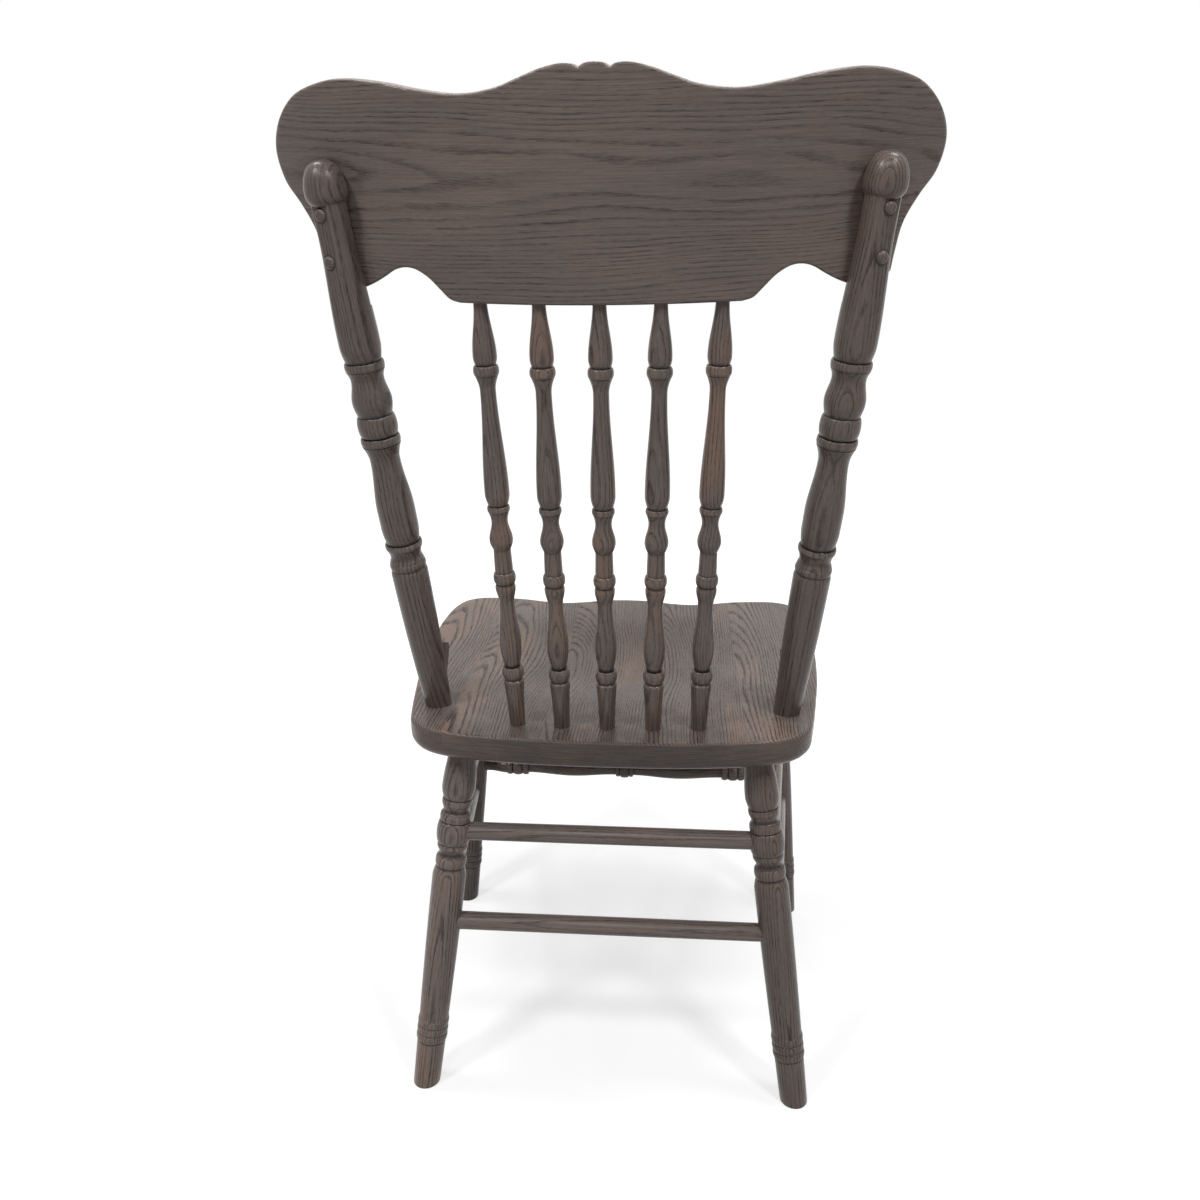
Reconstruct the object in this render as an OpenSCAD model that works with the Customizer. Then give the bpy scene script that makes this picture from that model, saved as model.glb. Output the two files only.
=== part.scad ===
// Pressback dining chair, all wood: a shaped seat on four turned legs, two turned
// back posts, five turned spindles and a wide bent crest rail.
// The sitter faces -Y, +Z is up and +X is the sitter's left.
// The origin is on the floor, at the middle of the chair's outer box.

/* [Seat] */
// Width of the seat at its widest, a little behind the front edge
seat_width = 492; // [450:1:530]
// Depth of the seat along its middle, front to back
seat_depth = 457; // [430:1:490]
// Thickness of the seat board
seat_thickness = 34; // [30:1:42]
// Height of the seat's top above the floor, over the rear legs
seat_height = 445; // [400:1:500]
// Slope of the seat, front edge up, in degrees
seat_slope = 1.5; // [0:0.1:3]
// Depth of the hollow that the sitter sits in
seat_hollow = 9; // [4:0.5:10]
// Depth of the two bays in the front edge, beside the middle
front_bay = 18; // [8:1:26]
// Radius that rounds the upper edge
seat_top_round = 4; // [3:0.5:10]
// Radius that rounds the lower edge
seat_bottom_round = 16; // [6:0.5:20]

/* [Legs] */
// Distance of the rear leg tops in from the seat's half width
rear_leg_inset = 89; // [80:1:96]
// Distance of the rear leg tops in front of the seat's rear edge
rear_leg_setback = 58; // [52:1:66]
// Distance of the front leg tops in from the seat's half width
front_leg_inset = 44; // [40:1:56]
// Distance of the front leg tops behind the seat's front edge
front_leg_setback = 64; // [56:1:76]
// How far the rear feet stand out sideways from the leg tops
rear_splay_out = 54; // [30:1:70]
// How far the rear feet stand back from the leg tops
rear_splay_back = 41; // [20:1:60]
// How far the front feet stand out sideways from the leg tops
front_splay_out = 37; // [20:1:50]
// How far the front feet stand back from the leg tops
front_splay_back = 10; // [0:1:20]
// Largest diameter of a leg, at the ball that takes a stretcher
leg_ball = 38; // [35:0.5:44]
// Diameter of the leg's end in the seat
leg_end = 29; // [26:0.5:32]
// Depth of the leg's end in the seat
leg_end_depth = 20; // [14:0.5:22]

/* [Stretchers] */
// Diameter of the plain rear and side stretchers
stretcher_dowel = 20; // [16:0.5:22]
// Distance of the lower rear stretcher below the upper one
rear_low_drop = 107; // [100:1:125]
// Distance of the upper side stretchers below the upper rear one, at the rear leg
side_high_rear_drop = 25; // [23:1:30]
// Distance of the upper side stretchers below the upper front one, at the front leg
side_high_front_drop = 58; // [40:1:70]
// Distance of the lower side stretchers below the upper rear one, at the rear leg
side_low_rear_drop = 79; // [70:1:79]
// Distance of the lower side stretchers below the upper front one, at the front leg
side_low_front_drop = 136; // [130:1:150]
// Distance of the lower front stretcher below the upper one
front_low_drop = 100; // [95:1:105]
// Largest diameter of the turned front stretchers
turned_stretcher = 25; // [22:0.5:28]
// Diameter of the turned stretchers where they enter the legs
turned_end = 15; // [12:0.5:17]
// Distance from a leg's axis to the end of a stretcher inside it
stretcher_end_gap = 6; // [4:0.5:10]

/* [Back posts] */
// Distance of the posts in from the seat's half width
post_inset = 57.5; // [54:1:66]
// Distance of the posts in front of the seat's rear edge
post_setback = 85; // [78:1:95]
// Rise of the post tops above the seat
post_rise = 533; // [510:1:560]
// How far the post tops lean back
post_lean_back = 115; // [105:1:125]
// How far the post tops lean outwards
post_lean_out = 43.4; // [30:0.2:50]
// Diameter of the post where it enters the seat
post_end = 28; // [26:0.5:30]
// Largest diameter of the post
post_width = 37.6; // [35:0.2:40]
// Depth of the post's end in the seat
post_end_depth = 22; // [14:0.5:24]
// Wood left between the post's axis and the crest rail
post_crest_wood = 8; // [6:0.5:10]
// Height of the rounded knob at the post's top, above its widest place
knob_height = 25; // [20:0.5:32]
// Distance from the post's axis to the flat on its back, at the knob
post_flat = 11.6; // [10.5:0.1:13]
// How much further from the axis the flat is at the foot of the upper shaft
post_flat_fade = 6; // [5:0.1:7]

/* [Post braces] */
// Width of the small block in front of each post
brace_width = 18; // [14:1:21]
// Height of the block above the seat
brace_height = 64; // [50:1:75]
// Distance that the block's top reaches in front of the post's foot
brace_reach = 40; // [34:1:46]
// Distance that the block's own foot reaches in front of the post's foot
brace_foot_reach = 24; // [20:1:32]

/* [Spindles] */
// Distance between neighbouring spindles at the seat
spindle_pitch_seat = 47; // [42:0.5:50]
// Distance between neighbouring spindles at the crest rail
spindle_pitch_crest = 51.5; // [46:0.5:54]
// Distance of the middle spindle in front of the seat's rear edge
spindle_setback = 36; // [32:1:42]
// Radius of the curve that the spindles stand on at the seat
spindle_row_radius = 1160; // [900:10:2000]
// Largest diameter of a spindle
spindle_width = 23.2; // [21:0.2:27]
// Depth of a spindle's end in the seat
spindle_seat_depth = 18; // [12:0.5:22]
// Depth of a spindle's end in the crest rail
spindle_crest_depth = 15; // [10:0.5:20]

/* [Crest rail] */
// Width of the crest rail, ear to ear
crest_width = 568; // [550:1:600]
// Height of the crest rail at its middle
crest_height = 177; // [165:1:190]
// Height of the two ears above the lower edge
crest_ear_height = 169.5; // [160:1:180]
// Height of the two valleys beside the middle
crest_valley_height = 157.5; // [140:1:160]
// Height of the lower edge's arches
crest_arch_height = 27; // [20:1:35]
// Thickness of the crest rail
crest_thickness = 20; // [18:0.5:24]
// Height of the crest rail's lower edge above the floor
crest_level = 863; // [845:1:900]
// Radius that the crest rail is bent to, at the middle of its thickness
crest_bend = 520; // [480:5:700]

/* [Plugs and screws] */
// Diameter of the screw plugs' domed heads
plug_head = 11; // [9:0.5:13]
// Height of the plugs' domes
plug_dome = 3; // [2:0.25:4]
// Diameter of the plugs' stems
plug_stem = 9; // [7:0.5:9.5]
// Distance of the upper plug below the post's top
plug_top_drop = 42; // [40:1:50]
// Distance between the two plugs of a post
plug_pitch = 38; // [30:1:44]
// Diameter of the crest screws
screw_diameter = 4; // [3:0.5:5]
// Depth of the screws in the crest rail
screw_bite = 13; // [8:0.5:14]

/* [Fit] */
// Glue gap all round each round end in its hole, on the radius
glue_gap = 0.05; // [0.03:0.01:0.1]
// Gap between pieces that lie face to face
face_gap = 0.1; // [0.05:0.05:0.3]

/* [Hidden] */
$fn = 64;

// Colours of the stained oak: seat, turned pieces and steel
seat_colour = [0.52, 0.48, 0.45];
wood_colour = [0.37, 0.34, 0.32];
steel_colour = [0.6, 0.6, 0.62];

// Spare length of a cutting solid past the face that it cuts
past = 2;
left = 1;
right = -1;

// The crest rail leans with the posts
back_lean = atan2(post_lean_back, post_rise);
crest_back_reach = (crest_height * sin(back_lean)) + crest_thickness / 2 * cos(back_lean);
// The spindles' tops, and the crest rail's lower edge, behind the seat's front edge
post_y_at_crest = seat_depth - post_setback + post_lean_back * (crest_level - seat_height) / post_rise;
post_x_at_crest = seat_width / 2 - post_inset + post_lean_out * (crest_level - seat_height) / post_rise;
function bend_depth(x, radius) = radius - sqrt(radius * radius - x * x);
// Distance along Y from the post's axis forward to the middle of the crest rail
post_to_crest = (post_crest_wood + crest_thickness / 2) / cos(asin(post_x_at_crest / crest_bend));
crest_depth_y = post_y_at_crest - post_to_crest + bend_depth(post_x_at_crest, crest_bend) / cos(back_lean);

// The seat's front edge, so that the whole chair's box is centred on the origin
front_y = -(crest_depth_y + crest_back_reach) / 2;
rear_y = front_y + seat_depth;

// Seat plane: it turns about a line over the rear legs
hinge_y = rear_y - rear_leg_setback;
function seat_top(y) = seat_height + (hinge_y - y) * tan(seat_slope);
function seat_under(y) = seat_top(y) - seat_thickness / cos(seat_slope);
module on_seat_plane() {
    translate([0, hinge_y, seat_height])
        rotate([-seat_slope, 0, 0])
            children();
}

// Puts what stands on the origin along +Z onto the line from a to b
module along(a, b) {
    v = b - a;
    translate(a)
        rotate([0, acos(v.z / norm(v)), atan2(v.y, v.x)])
            children();
}

// Turned profiles. A stretch is [kind, length, first radius, second radius].
// A cone or an easy S curve runs from the first radius to the second.
// A flare starts straight and ends steep, and a shoulder starts steep and ends straight.
// A bead swells from the first radius to the second and back.
bead_steps = 8;
ease_steps = 7;
bend_steps = 5;
function total(list, n) = n <= 0 ? 0 : list[n - 1][1] + total(list, n - 1);
function stretch_points(s) =
    s[0] == "cone" ? [[s[2], 0], [s[3], s[1]]] :
    s[0] == "ease" ? [for (i = [0:ease_steps])
        [s[2] + (s[3] - s[2]) * (1 - cos(180 * i / ease_steps)) / 2, s[1] * i / ease_steps]] :
    s[0] == "flare" ? [for (i = [0:bend_steps])
        [s[2] + (s[3] - s[2]) * (1 - cos(90 * i / bend_steps)), s[1] * i / bend_steps]] :
    s[0] == "shoulder" ? [for (i = [0:bend_steps])
        [s[2] + (s[3] - s[2]) * sin(90 * i / bend_steps), s[1] * i / bend_steps]] :
    [for (i = [0:bead_steps])
        [s[2] + (s[3] - s[2]) * sin(180 * i / bead_steps),
         s[1] * (1 - cos(180 * i / bead_steps)) / 2]];
function raw_points(list) = [for (k = [0:len(list) - 1]) for (p = stretch_points(list[k]))
    [p.x, p.y + total(list, k)]];
function turned_points(list) = let (raw = raw_points(list))
    [for (i = [0:len(raw) - 1]) if (i == 0 || norm(raw[i] - raw[max(i - 1, 0)]) > 0.02) raw[i]];
function mirrored_kind(kind) = kind == "flare" ? "shoulder" : kind == "shoulder" ? "flare" : kind;
function mirrored(list) = [for (i = [len(list) - 1:-1:0]) let (s = list[i])
    s[0] == "bead" ? s : [mirrored_kind(s[0]), s[1], s[3], s[2]]];
module turned(list, more = 0) {
    points = [for (p = turned_points(list)) [p.x + more, p.y]];
    rotate_extrude()
        polygon(concat([[0, points[0].y]], points, [[0, points[len(points) - 1].y]]));
}

// Smooth curve through chosen points, with the given steps between neighbours
function blend_point(a, b, c, d, t) =
    0.5 * (2 * b + (c - a) * t + (2 * a - 5 * b + 4 * c - d) * t * t
        + (3 * b - a - 3 * c + d) * t * t * t);
function curve(p, steps) = concat([for (i = [0:len(p) - 2]) for (k = [0:steps - 1])
    blend_point(
        i == 0 ? 2 * p[0] - p[1] : p[i - 1], p[i], p[i + 1],
        i == len(p) - 2 ? 2 * p[i + 1] - p[i] : p[i + 2], k / steps)],
    [p[len(p) - 1]]);

// Leg axes: the top is on the seat's underside, the foot on the floor
function leg_top(side, front) = let (
    x = side * (seat_width / 2 - (front ? front_leg_inset : rear_leg_inset)),
    y = front ? front_y + front_leg_setback : rear_y - rear_leg_setback)
    [x, y, seat_under(y)];
function leg_foot(side, front) = let (top = leg_top(side, front))
    [top.x + side * (front ? front_splay_out : rear_splay_out),
     top.y + (front ? front_splay_back : rear_splay_back), 0];
function leg_length(front) = norm(leg_top(left, front) - leg_foot(left, front));
function leg_point(side, front, z) = let (top = leg_top(side, front), foot = leg_foot(side, front))
    foot + (top - foot) * z / top.z;

// Leg turning, foot to seat. The long taper takes up the leg's length
foot_height = 55.5;
foot_radius = 15.1;
ankle_radius = 16.2;
function leg_tilt(front) = let (v = leg_top(left, front) - leg_foot(left, front)) acos(v.z / norm(v));
// The foot is cut level with the floor, so the turning starts a little below it
foot_spare = 1.2 * foot_radius * tan(max(leg_tilt(true), leg_tilt(false)));
foot_beads = [
    ["bead", 2, ankle_radius, ankle_radius - 0.6],
    ["bead", 9.5, ankle_radius, ankle_radius + 1.4],
    ["bead", 9.5, ankle_radius, ankle_radius + 1.4],
    ["bead", 9.5, ankle_radius, ankle_radius + 1.4]
];
leg_wide = leg_ball / 2;
leg_shoulder = [
    ["flare", 13.5, leg_wide - 0.4, leg_wide - 3.5],
    ["bead", 12, leg_wide - 3.7, leg_wide - 2],
    ["ease", 3.5, leg_wide - 4, leg_wide - 5.15],
    ["flare", 6, leg_wide - 5.15, leg_wide - 3],
    ["bead", 6, leg_wide - 3.2, leg_wide - 2.25]
];
leg_upper = [
    ["bead", 9, leg_wide - 3.1, leg_wide - 2.05],
    ["ease", 3.5, leg_wide - 3.4, leg_wide - 4.85],
    ["flare", 6.5, leg_wide - 4.85, leg_wide - 3.1],
    ["bead", 7, leg_wide - 3.5, leg_wide - 2.5],
    ["shoulder", 13.5, leg_wide - 3.8, leg_wide - 0.8]
];
leg_ball_height = 26;
leg_neck_height = 49;
// Distance from the seat's underside down to the middle of the ball
ball_drop = leg_neck_height + total(leg_upper, len(leg_upper)) + leg_ball_height / 2;
function leg_profile(front) = let (
    l = leg_length(front),
    below = foot_height + total(foot_beads, len(foot_beads)),
    above = ball_drop + leg_ball_height / 2 + total(leg_shoulder, len(leg_shoulder)))
    concat(
        [["cone", foot_height + foot_spare, foot_radius, ankle_radius]],
        foot_beads,
        [["shoulder", l - below - above, ankle_radius + 0.4, leg_wide - 0.4]],
        leg_shoulder,
        [["bead", leg_ball_height, leg_wide - 3.2, leg_wide]],
        leg_upper,
        [["ease", leg_neck_height, leg_wide - 0.8, leg_end / 2],
         ["cone", leg_end_depth, leg_end / 2, leg_end / 2]]);

// Plain stretchers: both ends sit in blind holes in the legs
function ball_height(front) = leg_top(left, front).z * (1 - ball_drop / leg_length(front));
rear_high_height = ball_height(false);
front_high_height = ball_height(true);
rear_high = [leg_point(left, false, rear_high_height), leg_point(right, false, rear_high_height)];
rear_low_height = rear_high_height - rear_low_drop;
front_low_height = front_high_height - front_low_drop;
rear_low = [leg_point(left, false, rear_low_height), leg_point(right, false, rear_low_height)];
front_high = [leg_point(left, true, front_high_height), leg_point(right, true, front_high_height)];
front_low = [leg_point(left, true, front_low_height), leg_point(right, true, front_low_height)];
function side_high(side) =
    [leg_point(side, false, rear_high_height - side_high_rear_drop),
     leg_point(side, true, front_high_height - side_high_front_drop)];
function side_low(side) =
    [leg_point(side, false, rear_high_height - side_low_rear_drop),
     leg_point(side, true, front_high_height - side_low_front_drop)];
function toward(a, b, d) = a + (b - a) * d / norm(b - a);

module dowel(ends) {
    a = toward(ends[0], ends[1], stretcher_end_gap);
    b = toward(ends[1], ends[0], stretcher_end_gap);
    color(wood_colour)
        along(a, b)
            cylinder(h = norm(b - a), d = stretcher_dowel);
}
module dowel_hole(ends, d) {
    along(toward(ends[0], ends[1], stretcher_end_gap - face_gap), ends[1])
        cylinder(h = norm(ends[1] - ends[0]) / 2, d = d + 2 * glue_gap);
    along(toward(ends[1], ends[0], stretcher_end_gap - face_gap), ends[0])
        cylinder(h = norm(ends[1] - ends[0]) / 2, d = d + 2 * glue_gap);
}

// Turned front stretcher: beads at the middle, a swell and beads on each side
big = turned_stretcher / 2;
middle_beads = [
    ["bead", 6, big - 3, big - 1.2],
    ["bead", 13, big - 2.5, big],
    ["bead", 6, big - 3, big - 1.2]
];
side_beads = [
    ["bead", 9, big - 2.6, big - 0.5],
    ["bead", 14, big - 2.8, big],
    ["bead", 9, big - 2.6, big - 0.5]
];
turned_end_plain = 18;
swell_share = 0.42;
function front_profile(length) = let (
    beads = total(middle_beads, len(middle_beads)),
    ends = total(side_beads, len(side_beads)),
    free = length / 2 - beads / 2 - ends - turned_end_plain,
    swell = free * swell_share,
    tail = free - 2 * swell,
    half = concat(
        [["cone", turned_end_plain, turned_end / 2, turned_end / 2],
         ["ease", tail, turned_end / 2, big - 2.4]],
        side_beads,
        [["ease", swell, big - 4, big - 0.6],
         ["ease", swell, big - 0.6, big - 4]]))
    concat(half, middle_beads, mirrored(half));
module turned_stretcher_bar(ends) {
    a = toward(ends[0], ends[1], stretcher_end_gap);
    b = toward(ends[1], ends[0], stretcher_end_gap);
    color(wood_colour)
        along(a, b)
            turned(front_profile(norm(b - a)));
}

module leg(side, front) {
    foot = leg_foot(side, front);
    top = leg_top(side, front);
    axis = (top - foot) / norm(top - foot);
    color(wood_colour)
        difference() {
            along(foot - axis * foot_spare, top)
                rotate([0, 0, 90])
                    turned(leg_profile(front));
            translate([foot.x - leg_ball, foot.y - leg_ball, -leg_ball])
                cube([2 * leg_ball, 2 * leg_ball, leg_ball]);
            if (front) {
                dowel_hole(front_high, turned_end);
                dowel_hole(front_low, turned_end);
            } else {
                dowel_hole(rear_high, stretcher_dowel);
                dowel_hole(rear_low, stretcher_dowel);
            }
            dowel_hole(side_high(side), stretcher_dowel);
            dowel_hole(side_low(side), stretcher_dowel);
        }
}

// Back posts
function post_base(side) = let (y = rear_y - post_setback)
    [side * (seat_width / 2 - post_inset), y, seat_top(y)];
function post_top(side) = let (b = post_base(side))
    [b.x + side * post_lean_out, b.y + post_lean_back, seat_height + post_rise];
post_length = norm(post_top(left) - post_base(left));
function post_point(side, d) = let (a = post_base(side), b = post_top(side)) a + (b - a) * d / post_length;

// Post turning, seat to knob. The upper shaft takes up the post's length
fat = post_width / 2;
post_lower = [
    ["shoulder", 163.5, post_end / 2, fat - 0.4],
    ["flare", 5.5, fat - 0.4, fat - 1.8]
];
post_middle = [
    ["bead", 7, fat - 1.8, fat - 0.7],
    ["ease", 7, fat - 1.6, fat - 3.3],
    ["flare", 8, fat - 3.3, fat - 1.4],
    ["bead", 6.5, fat - 1.4, fat - 0.3],
    ["shoulder", 17.5, fat - 2.6, fat - 0.45],
    ["ease", 17, fat - 0.45, fat - 0.4],
    ["ease", 52, fat - 0.4, fat - 4.6],
    ["flare", 15.5, fat - 4.6, fat - 0.6],
    ["bead", 8.5, fat - 1.6, fat],
    ["bead", 20.5, fat - 2.9, fat - 0.15],
    ["shoulder", 13.5, fat - 2.8, fat - 0.3],
    ["ease", 20, fat - 0.3, fat - 3.6],
    ["flare", 9, fat - 3.6, fat - 1],
    ["bead", 7.5, fat - 1.6, fat - 0.5],
    ["shoulder", 16, fat - 2.7, fat - 0.15]
];
// Straight neck under the knob, up to the knob's widest place
post_neck_height = 29;
post_neck_radius = fat - 4;
post_turnings = total(post_lower, len(post_lower)) + total(post_middle, len(post_middle));
post_upper_shaft = post_length - post_turnings - post_neck_height - knob_height;
post_profile = concat(
    [["cone", post_end_depth, post_end / 2, post_end / 2]],
    post_lower,
    post_middle,
    [["ease", post_upper_shaft, fat - 0.15, post_neck_radius],
     ["cone", post_neck_height, post_neck_radius, post_neck_radius]]);
module post_turning(side, more = 0) {
    along(post_point(side, -post_end_depth), post_top(side))
        turned(post_profile, more);
}

// The knob: rounded in below its widest place, drawn out into a bullet above it
knob_radius = fat - 0.5;
knob_under = 15;
knob_steps = 8;
module post_knob(side) {
    along(post_point(side, post_length - knob_height), post_top(side))
        rotate_extrude()
            polygon([for (i = [-knob_steps:knob_steps]) let (w = 90 * i / knob_steps)
                [knob_radius * pow(cos(w), w > 0 ? 0.8 : 1), (w > 0 ? knob_height : knob_under) * sin(w)]]);
}

// Frame of the crest rail: its lower edge's middle, leaning back
module on_crest() {
    translate([0, front_y + crest_depth_y, crest_level])
        rotate([-back_lean, 0, 0])
            children();
}
// Direction away from the crest rail's back, at the post
function crest_normal(side) = let (w = asin(post_x_at_crest / crest_bend))
    [side * sin(w), cos(w) * cos(back_lean), -cos(w) * sin(back_lean)];
// The flat on the post's back runs from the knob down the upper shaft and fades there.
// The screws are square to it
flat_slope = post_flat_fade / (post_upper_shaft + post_neck_height);
function screw_direction(side) = let (
    axis = (post_top(side) - post_base(side)) / post_length,
    n = crest_normal(side),
    across = n - axis * (n * axis),
    square = across / norm(across) + axis * flat_slope)
    square / norm(square);
// Distance from the post's axis to the flat, along the screws
function flat_distance(d) =
    (post_flat + flat_slope * (post_length - knob_height - d)) / norm([1, flat_slope]);
module at_flat(side, d) {
    a = post_point(side, d);
    along(a, a + screw_direction(side))
        translate([0, 0, flat_distance(d)])
            children();
}
plug_places = [post_length - plug_top_drop, post_length - plug_top_drop - plug_pitch];
plug_bore = 8;
screw_head = 7.5;
screw_head_height = 3;
// Reach of a screw's point below the flat
function screw_reach(d) = flat_distance(d) + post_crest_wood + screw_bite;
module post_back_flat(side) {
    at_flat(side, post_length - knob_height)
        translate([-post_length, -post_length / 2, 0])
            cube([post_length * 2, post_length, fat]);
}
// The posts' seat for the crest rail runs out a little below the rail
crest_seat_run = 8;
module back_post(side) {
    color(wood_colour)
        difference() {
            union() {
                difference() {
                    post_turning(side);
                    post_back_flat(side);
                }
                post_knob(side);
            }
            on_crest()
                translate([0, -crest_bend, -crest_seat_run])
                    cylinder(
                        h = crest_height + crest_seat_run,
                        r = crest_bend + crest_thickness / 2 + face_gap,
                        $fn = 200);
            for (d = plug_places)
                at_flat(side, d) {
                    translate([0, 0, -plug_bore])
                        cylinder(h = fat, d = plug_stem + 2 * glue_gap);
                    translate([0, 0, -screw_reach(d)])
                        cylinder(h = screw_reach(d), d = screw_diameter + 2 * glue_gap);
                }
        }
}

// Small block that stands on the seat in front of each post and is hollowed to fit it
// Distance of the block's back in front of the post's axis, clear of the post's sides
brace_shoulder = 5;
// The block stands under the middle of the leaning post's stretch beside it
brace_offset = brace_height / 2 * post_lean_out / post_rise;
module post_brace(side) {
    base = post_base(side);
    top_round = brace_width / 2;
    depth = brace_reach - brace_shoulder;
    color(wood_colour)
        difference() {
            on_seat_plane()
                translate([base.x + side * brace_offset, base.y - hinge_y - brace_reach, 0])
                    rotate([90, 0, 90])
                        translate([0, 0, -brace_width / 2])
                            linear_extrude(brace_width)
                                polygon(concat(
                                    [[brace_reach - brace_foot_reach, 0], [depth, 0],
                                     [depth + brace_height * tan(back_lean), brace_height]],
                                    [for (i = [0:8]) let (w = 90 + 90 * i / 8)
                                        [top_round + top_round * cos(w),
                                         brace_height - top_round + top_round * sin(w)]]));
            post_turning(side, face_gap);
        }
}

// Spindles
function spindle_base(k) = let (
    x = k * spindle_pitch_seat,
    y = rear_y - spindle_setback - bend_depth(x, spindle_row_radius))
    [x, y, seat_top(y)];
function spindle_top(k) = let (
    x = k * spindle_pitch_crest,
    sag = bend_depth(x, crest_bend))
    [x, front_y + crest_depth_y - sag * cos(back_lean), crest_level + sag * sin(back_lean)];
thick = spindle_width / 2;
spindle_seat_end = thick - 3.4;
spindle_crest_end = thick - 5.7;
spindle_waist = thick - 4.55;
spindle_lower = [
    ["flare", 53, spindle_seat_end, thick - 1.1],
    ["ease", 3, thick - 1.1, thick - 3],
    ["bead", 14, thick - 3, thick - 0.7],
    ["shoulder", 25, thick - 4.2, thick - 0.8],
    ["ease", 47.5, thick - 0.8, thick - 4.1],
    ["ease", 15, thick - 4.1, thick - 1.7],
    ["flare", 4.5, thick - 1.7, thick - 2.8],
    ["bead", 12, thick - 3.2, thick - 0.7],
    ["ease", 24, thick - 2.8, thick - 3.25],
    ["shoulder", 9.5, thick - 3.2, thick - 0.35],
    ["ease", 18.5, thick - 0.35, thick - 3.8],
    ["flare", 9.5, thick - 3.8, thick - 1.9],
    ["bead", 6.5, thick - 2.3, thick - 0.9],
    ["shoulder", 12, thick - 2.6, thick]
];
spindle_upper = [
    ["flare", 13, spindle_waist, thick - 1.4],
    ["bead", 9.5, thick - 2, thick - 0.1],
    ["shoulder", 7.5, thick - 2.5, thick - 1],
    ["ease", 46, thick - 1, spindle_crest_end]
];
function spindle_profile(k) = let (
    l = norm(spindle_top(k) - spindle_base(k)),
    vase = l - total(spindle_lower, len(spindle_lower)) - total(spindle_upper, len(spindle_upper)))
    concat(
        [["cone", spindle_seat_depth, spindle_seat_end, spindle_seat_end]],
        spindle_lower,
        [["ease", vase, thick, spindle_waist]],
        spindle_upper,
        [["cone", spindle_crest_depth, spindle_crest_end, spindle_crest_end]]);
module spindle(k) {
    a = spindle_base(k);
    b = spindle_top(k);
    color(wood_colour)
        along(toward(a, b, -spindle_seat_depth), b)
            turned(spindle_profile(k));
}

// Crest rail outline, right half from the top middle to the lower middle
half_crest = crest_width / 2;
function from_ear(inset, height) = [half_crest - inset, height];
crest_half = concat(
    curve([[0, crest_height], [7, crest_height - 0.8], [12, crest_height - 3.4]], 3),
    curve([[12, crest_height - 3.4], [17, crest_height - 1.2], [27, crest_height - 0.8],
        [42, crest_height - 4], [58, crest_height - 9.5], [80, crest_valley_height + 3],
        [109, crest_valley_height], [140, crest_valley_height + 3.5],
        from_ear(112, crest_ear_height - 3), from_ear(77, crest_ear_height),
        from_ear(49, crest_ear_height - 4), from_ear(26, crest_ear_height - 13),
        from_ear(8, crest_ear_height - 31), from_ear(0, crest_ear_height - 53),
        from_ear(5, crest_ear_height - 77), from_ear(19, crest_ear_height - 96),
        from_ear(30.5, crest_ear_height - 116), from_ear(35, crest_ear_height - 138),
        from_ear(37, 15)], 4),
    curve([from_ear(37, 15), from_ear(48, 7), from_ear(60, 4), from_ear(74, 9), from_ear(95, 21),
        from_ear(117, crest_arch_height), from_ear(137, crest_arch_height - 6), from_ear(149, 12),
        from_ear(158, 0)], 4));
function tidy(p) = [for (i = [0:len(p) - 1]) if (i == 0 || norm(p[i] - p[max(i - 1, 0)]) > 0.02) p[i]];
crest_outline = let (h = tidy(crest_half))
    concat(h, [for (i = [len(h) - 1:-1:1]) [-h[i].x, h[i].y]]);

module crest_rail() {
    outer = crest_bend + crest_thickness / 2;
    inner = crest_bend - crest_thickness / 2;
    front_most = bend_depth(half_crest, inner) + crest_thickness;
    color(wood_colour)
        difference() {
            on_crest()
                intersection() {
                    translate([0, crest_thickness, 0])
                        rotate([90, 0, 0])
                            linear_extrude(front_most + 2 * crest_thickness)
                                polygon(crest_outline);
                    translate([0, -crest_bend, -past])
                        difference() {
                            cylinder(h = crest_height + 2 * past, r = outer, $fn = 200);
                            translate([0, 0, -past])
                                cylinder(h = crest_height + 4 * past, r = inner, $fn = 200);
                        }
                }
            for (k = [-2:2]) {
                b = spindle_top(k);
                inside = toward(b, spindle_base(k), -spindle_crest_depth - face_gap);
                along(inside, spindle_base(k))
                    cylinder(h = 2 * spindle_crest_depth, r = spindle_crest_end + glue_gap);
            }
            for (side = [left, right])
                for (d = plug_places)
                    at_flat(side, d)
                        translate([0, 0, -screw_reach(d) - face_gap])
                            cylinder(h = screw_reach(d), d = screw_diameter + 2 * glue_gap);
        }
}

module crest_screws() {
    color(steel_colour)
        for (side = [left, right])
            for (d = plug_places)
                at_flat(side, d)
                    rotate_extrude()
                        polygon([
                            [0, -screw_reach(d)],
                            [screw_diameter / 4, -screw_reach(d)],
                            [screw_diameter / 2, -screw_reach(d) + screw_diameter],
                            [screw_diameter / 2, -plug_bore],
                            [screw_head / 2, -plug_bore],
                            [screw_head / 2, -plug_bore + screw_head_height / 2],
                            [screw_head / 3, -plug_bore + screw_head_height],
                            [0, -plug_bore + screw_head_height]
                        ]);
}

plug_steps = 6;
module screw_plugs() {
    floor = -plug_bore + screw_head_height + face_gap;
    color(wood_colour)
        for (side = [left, right])
            for (d = plug_places)
                at_flat(side, d)
                    rotate_extrude()
                        polygon(concat(
                            [[0, floor], [plug_stem / 2, floor], [plug_stem / 2, 0], [plug_head / 2, 0]],
                            [for (i = [1:plug_steps]) let (w = 90 * i / plug_steps)
                                [plug_head / 2 * cos(w), plug_dome * sin(w)]]));
}

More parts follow.
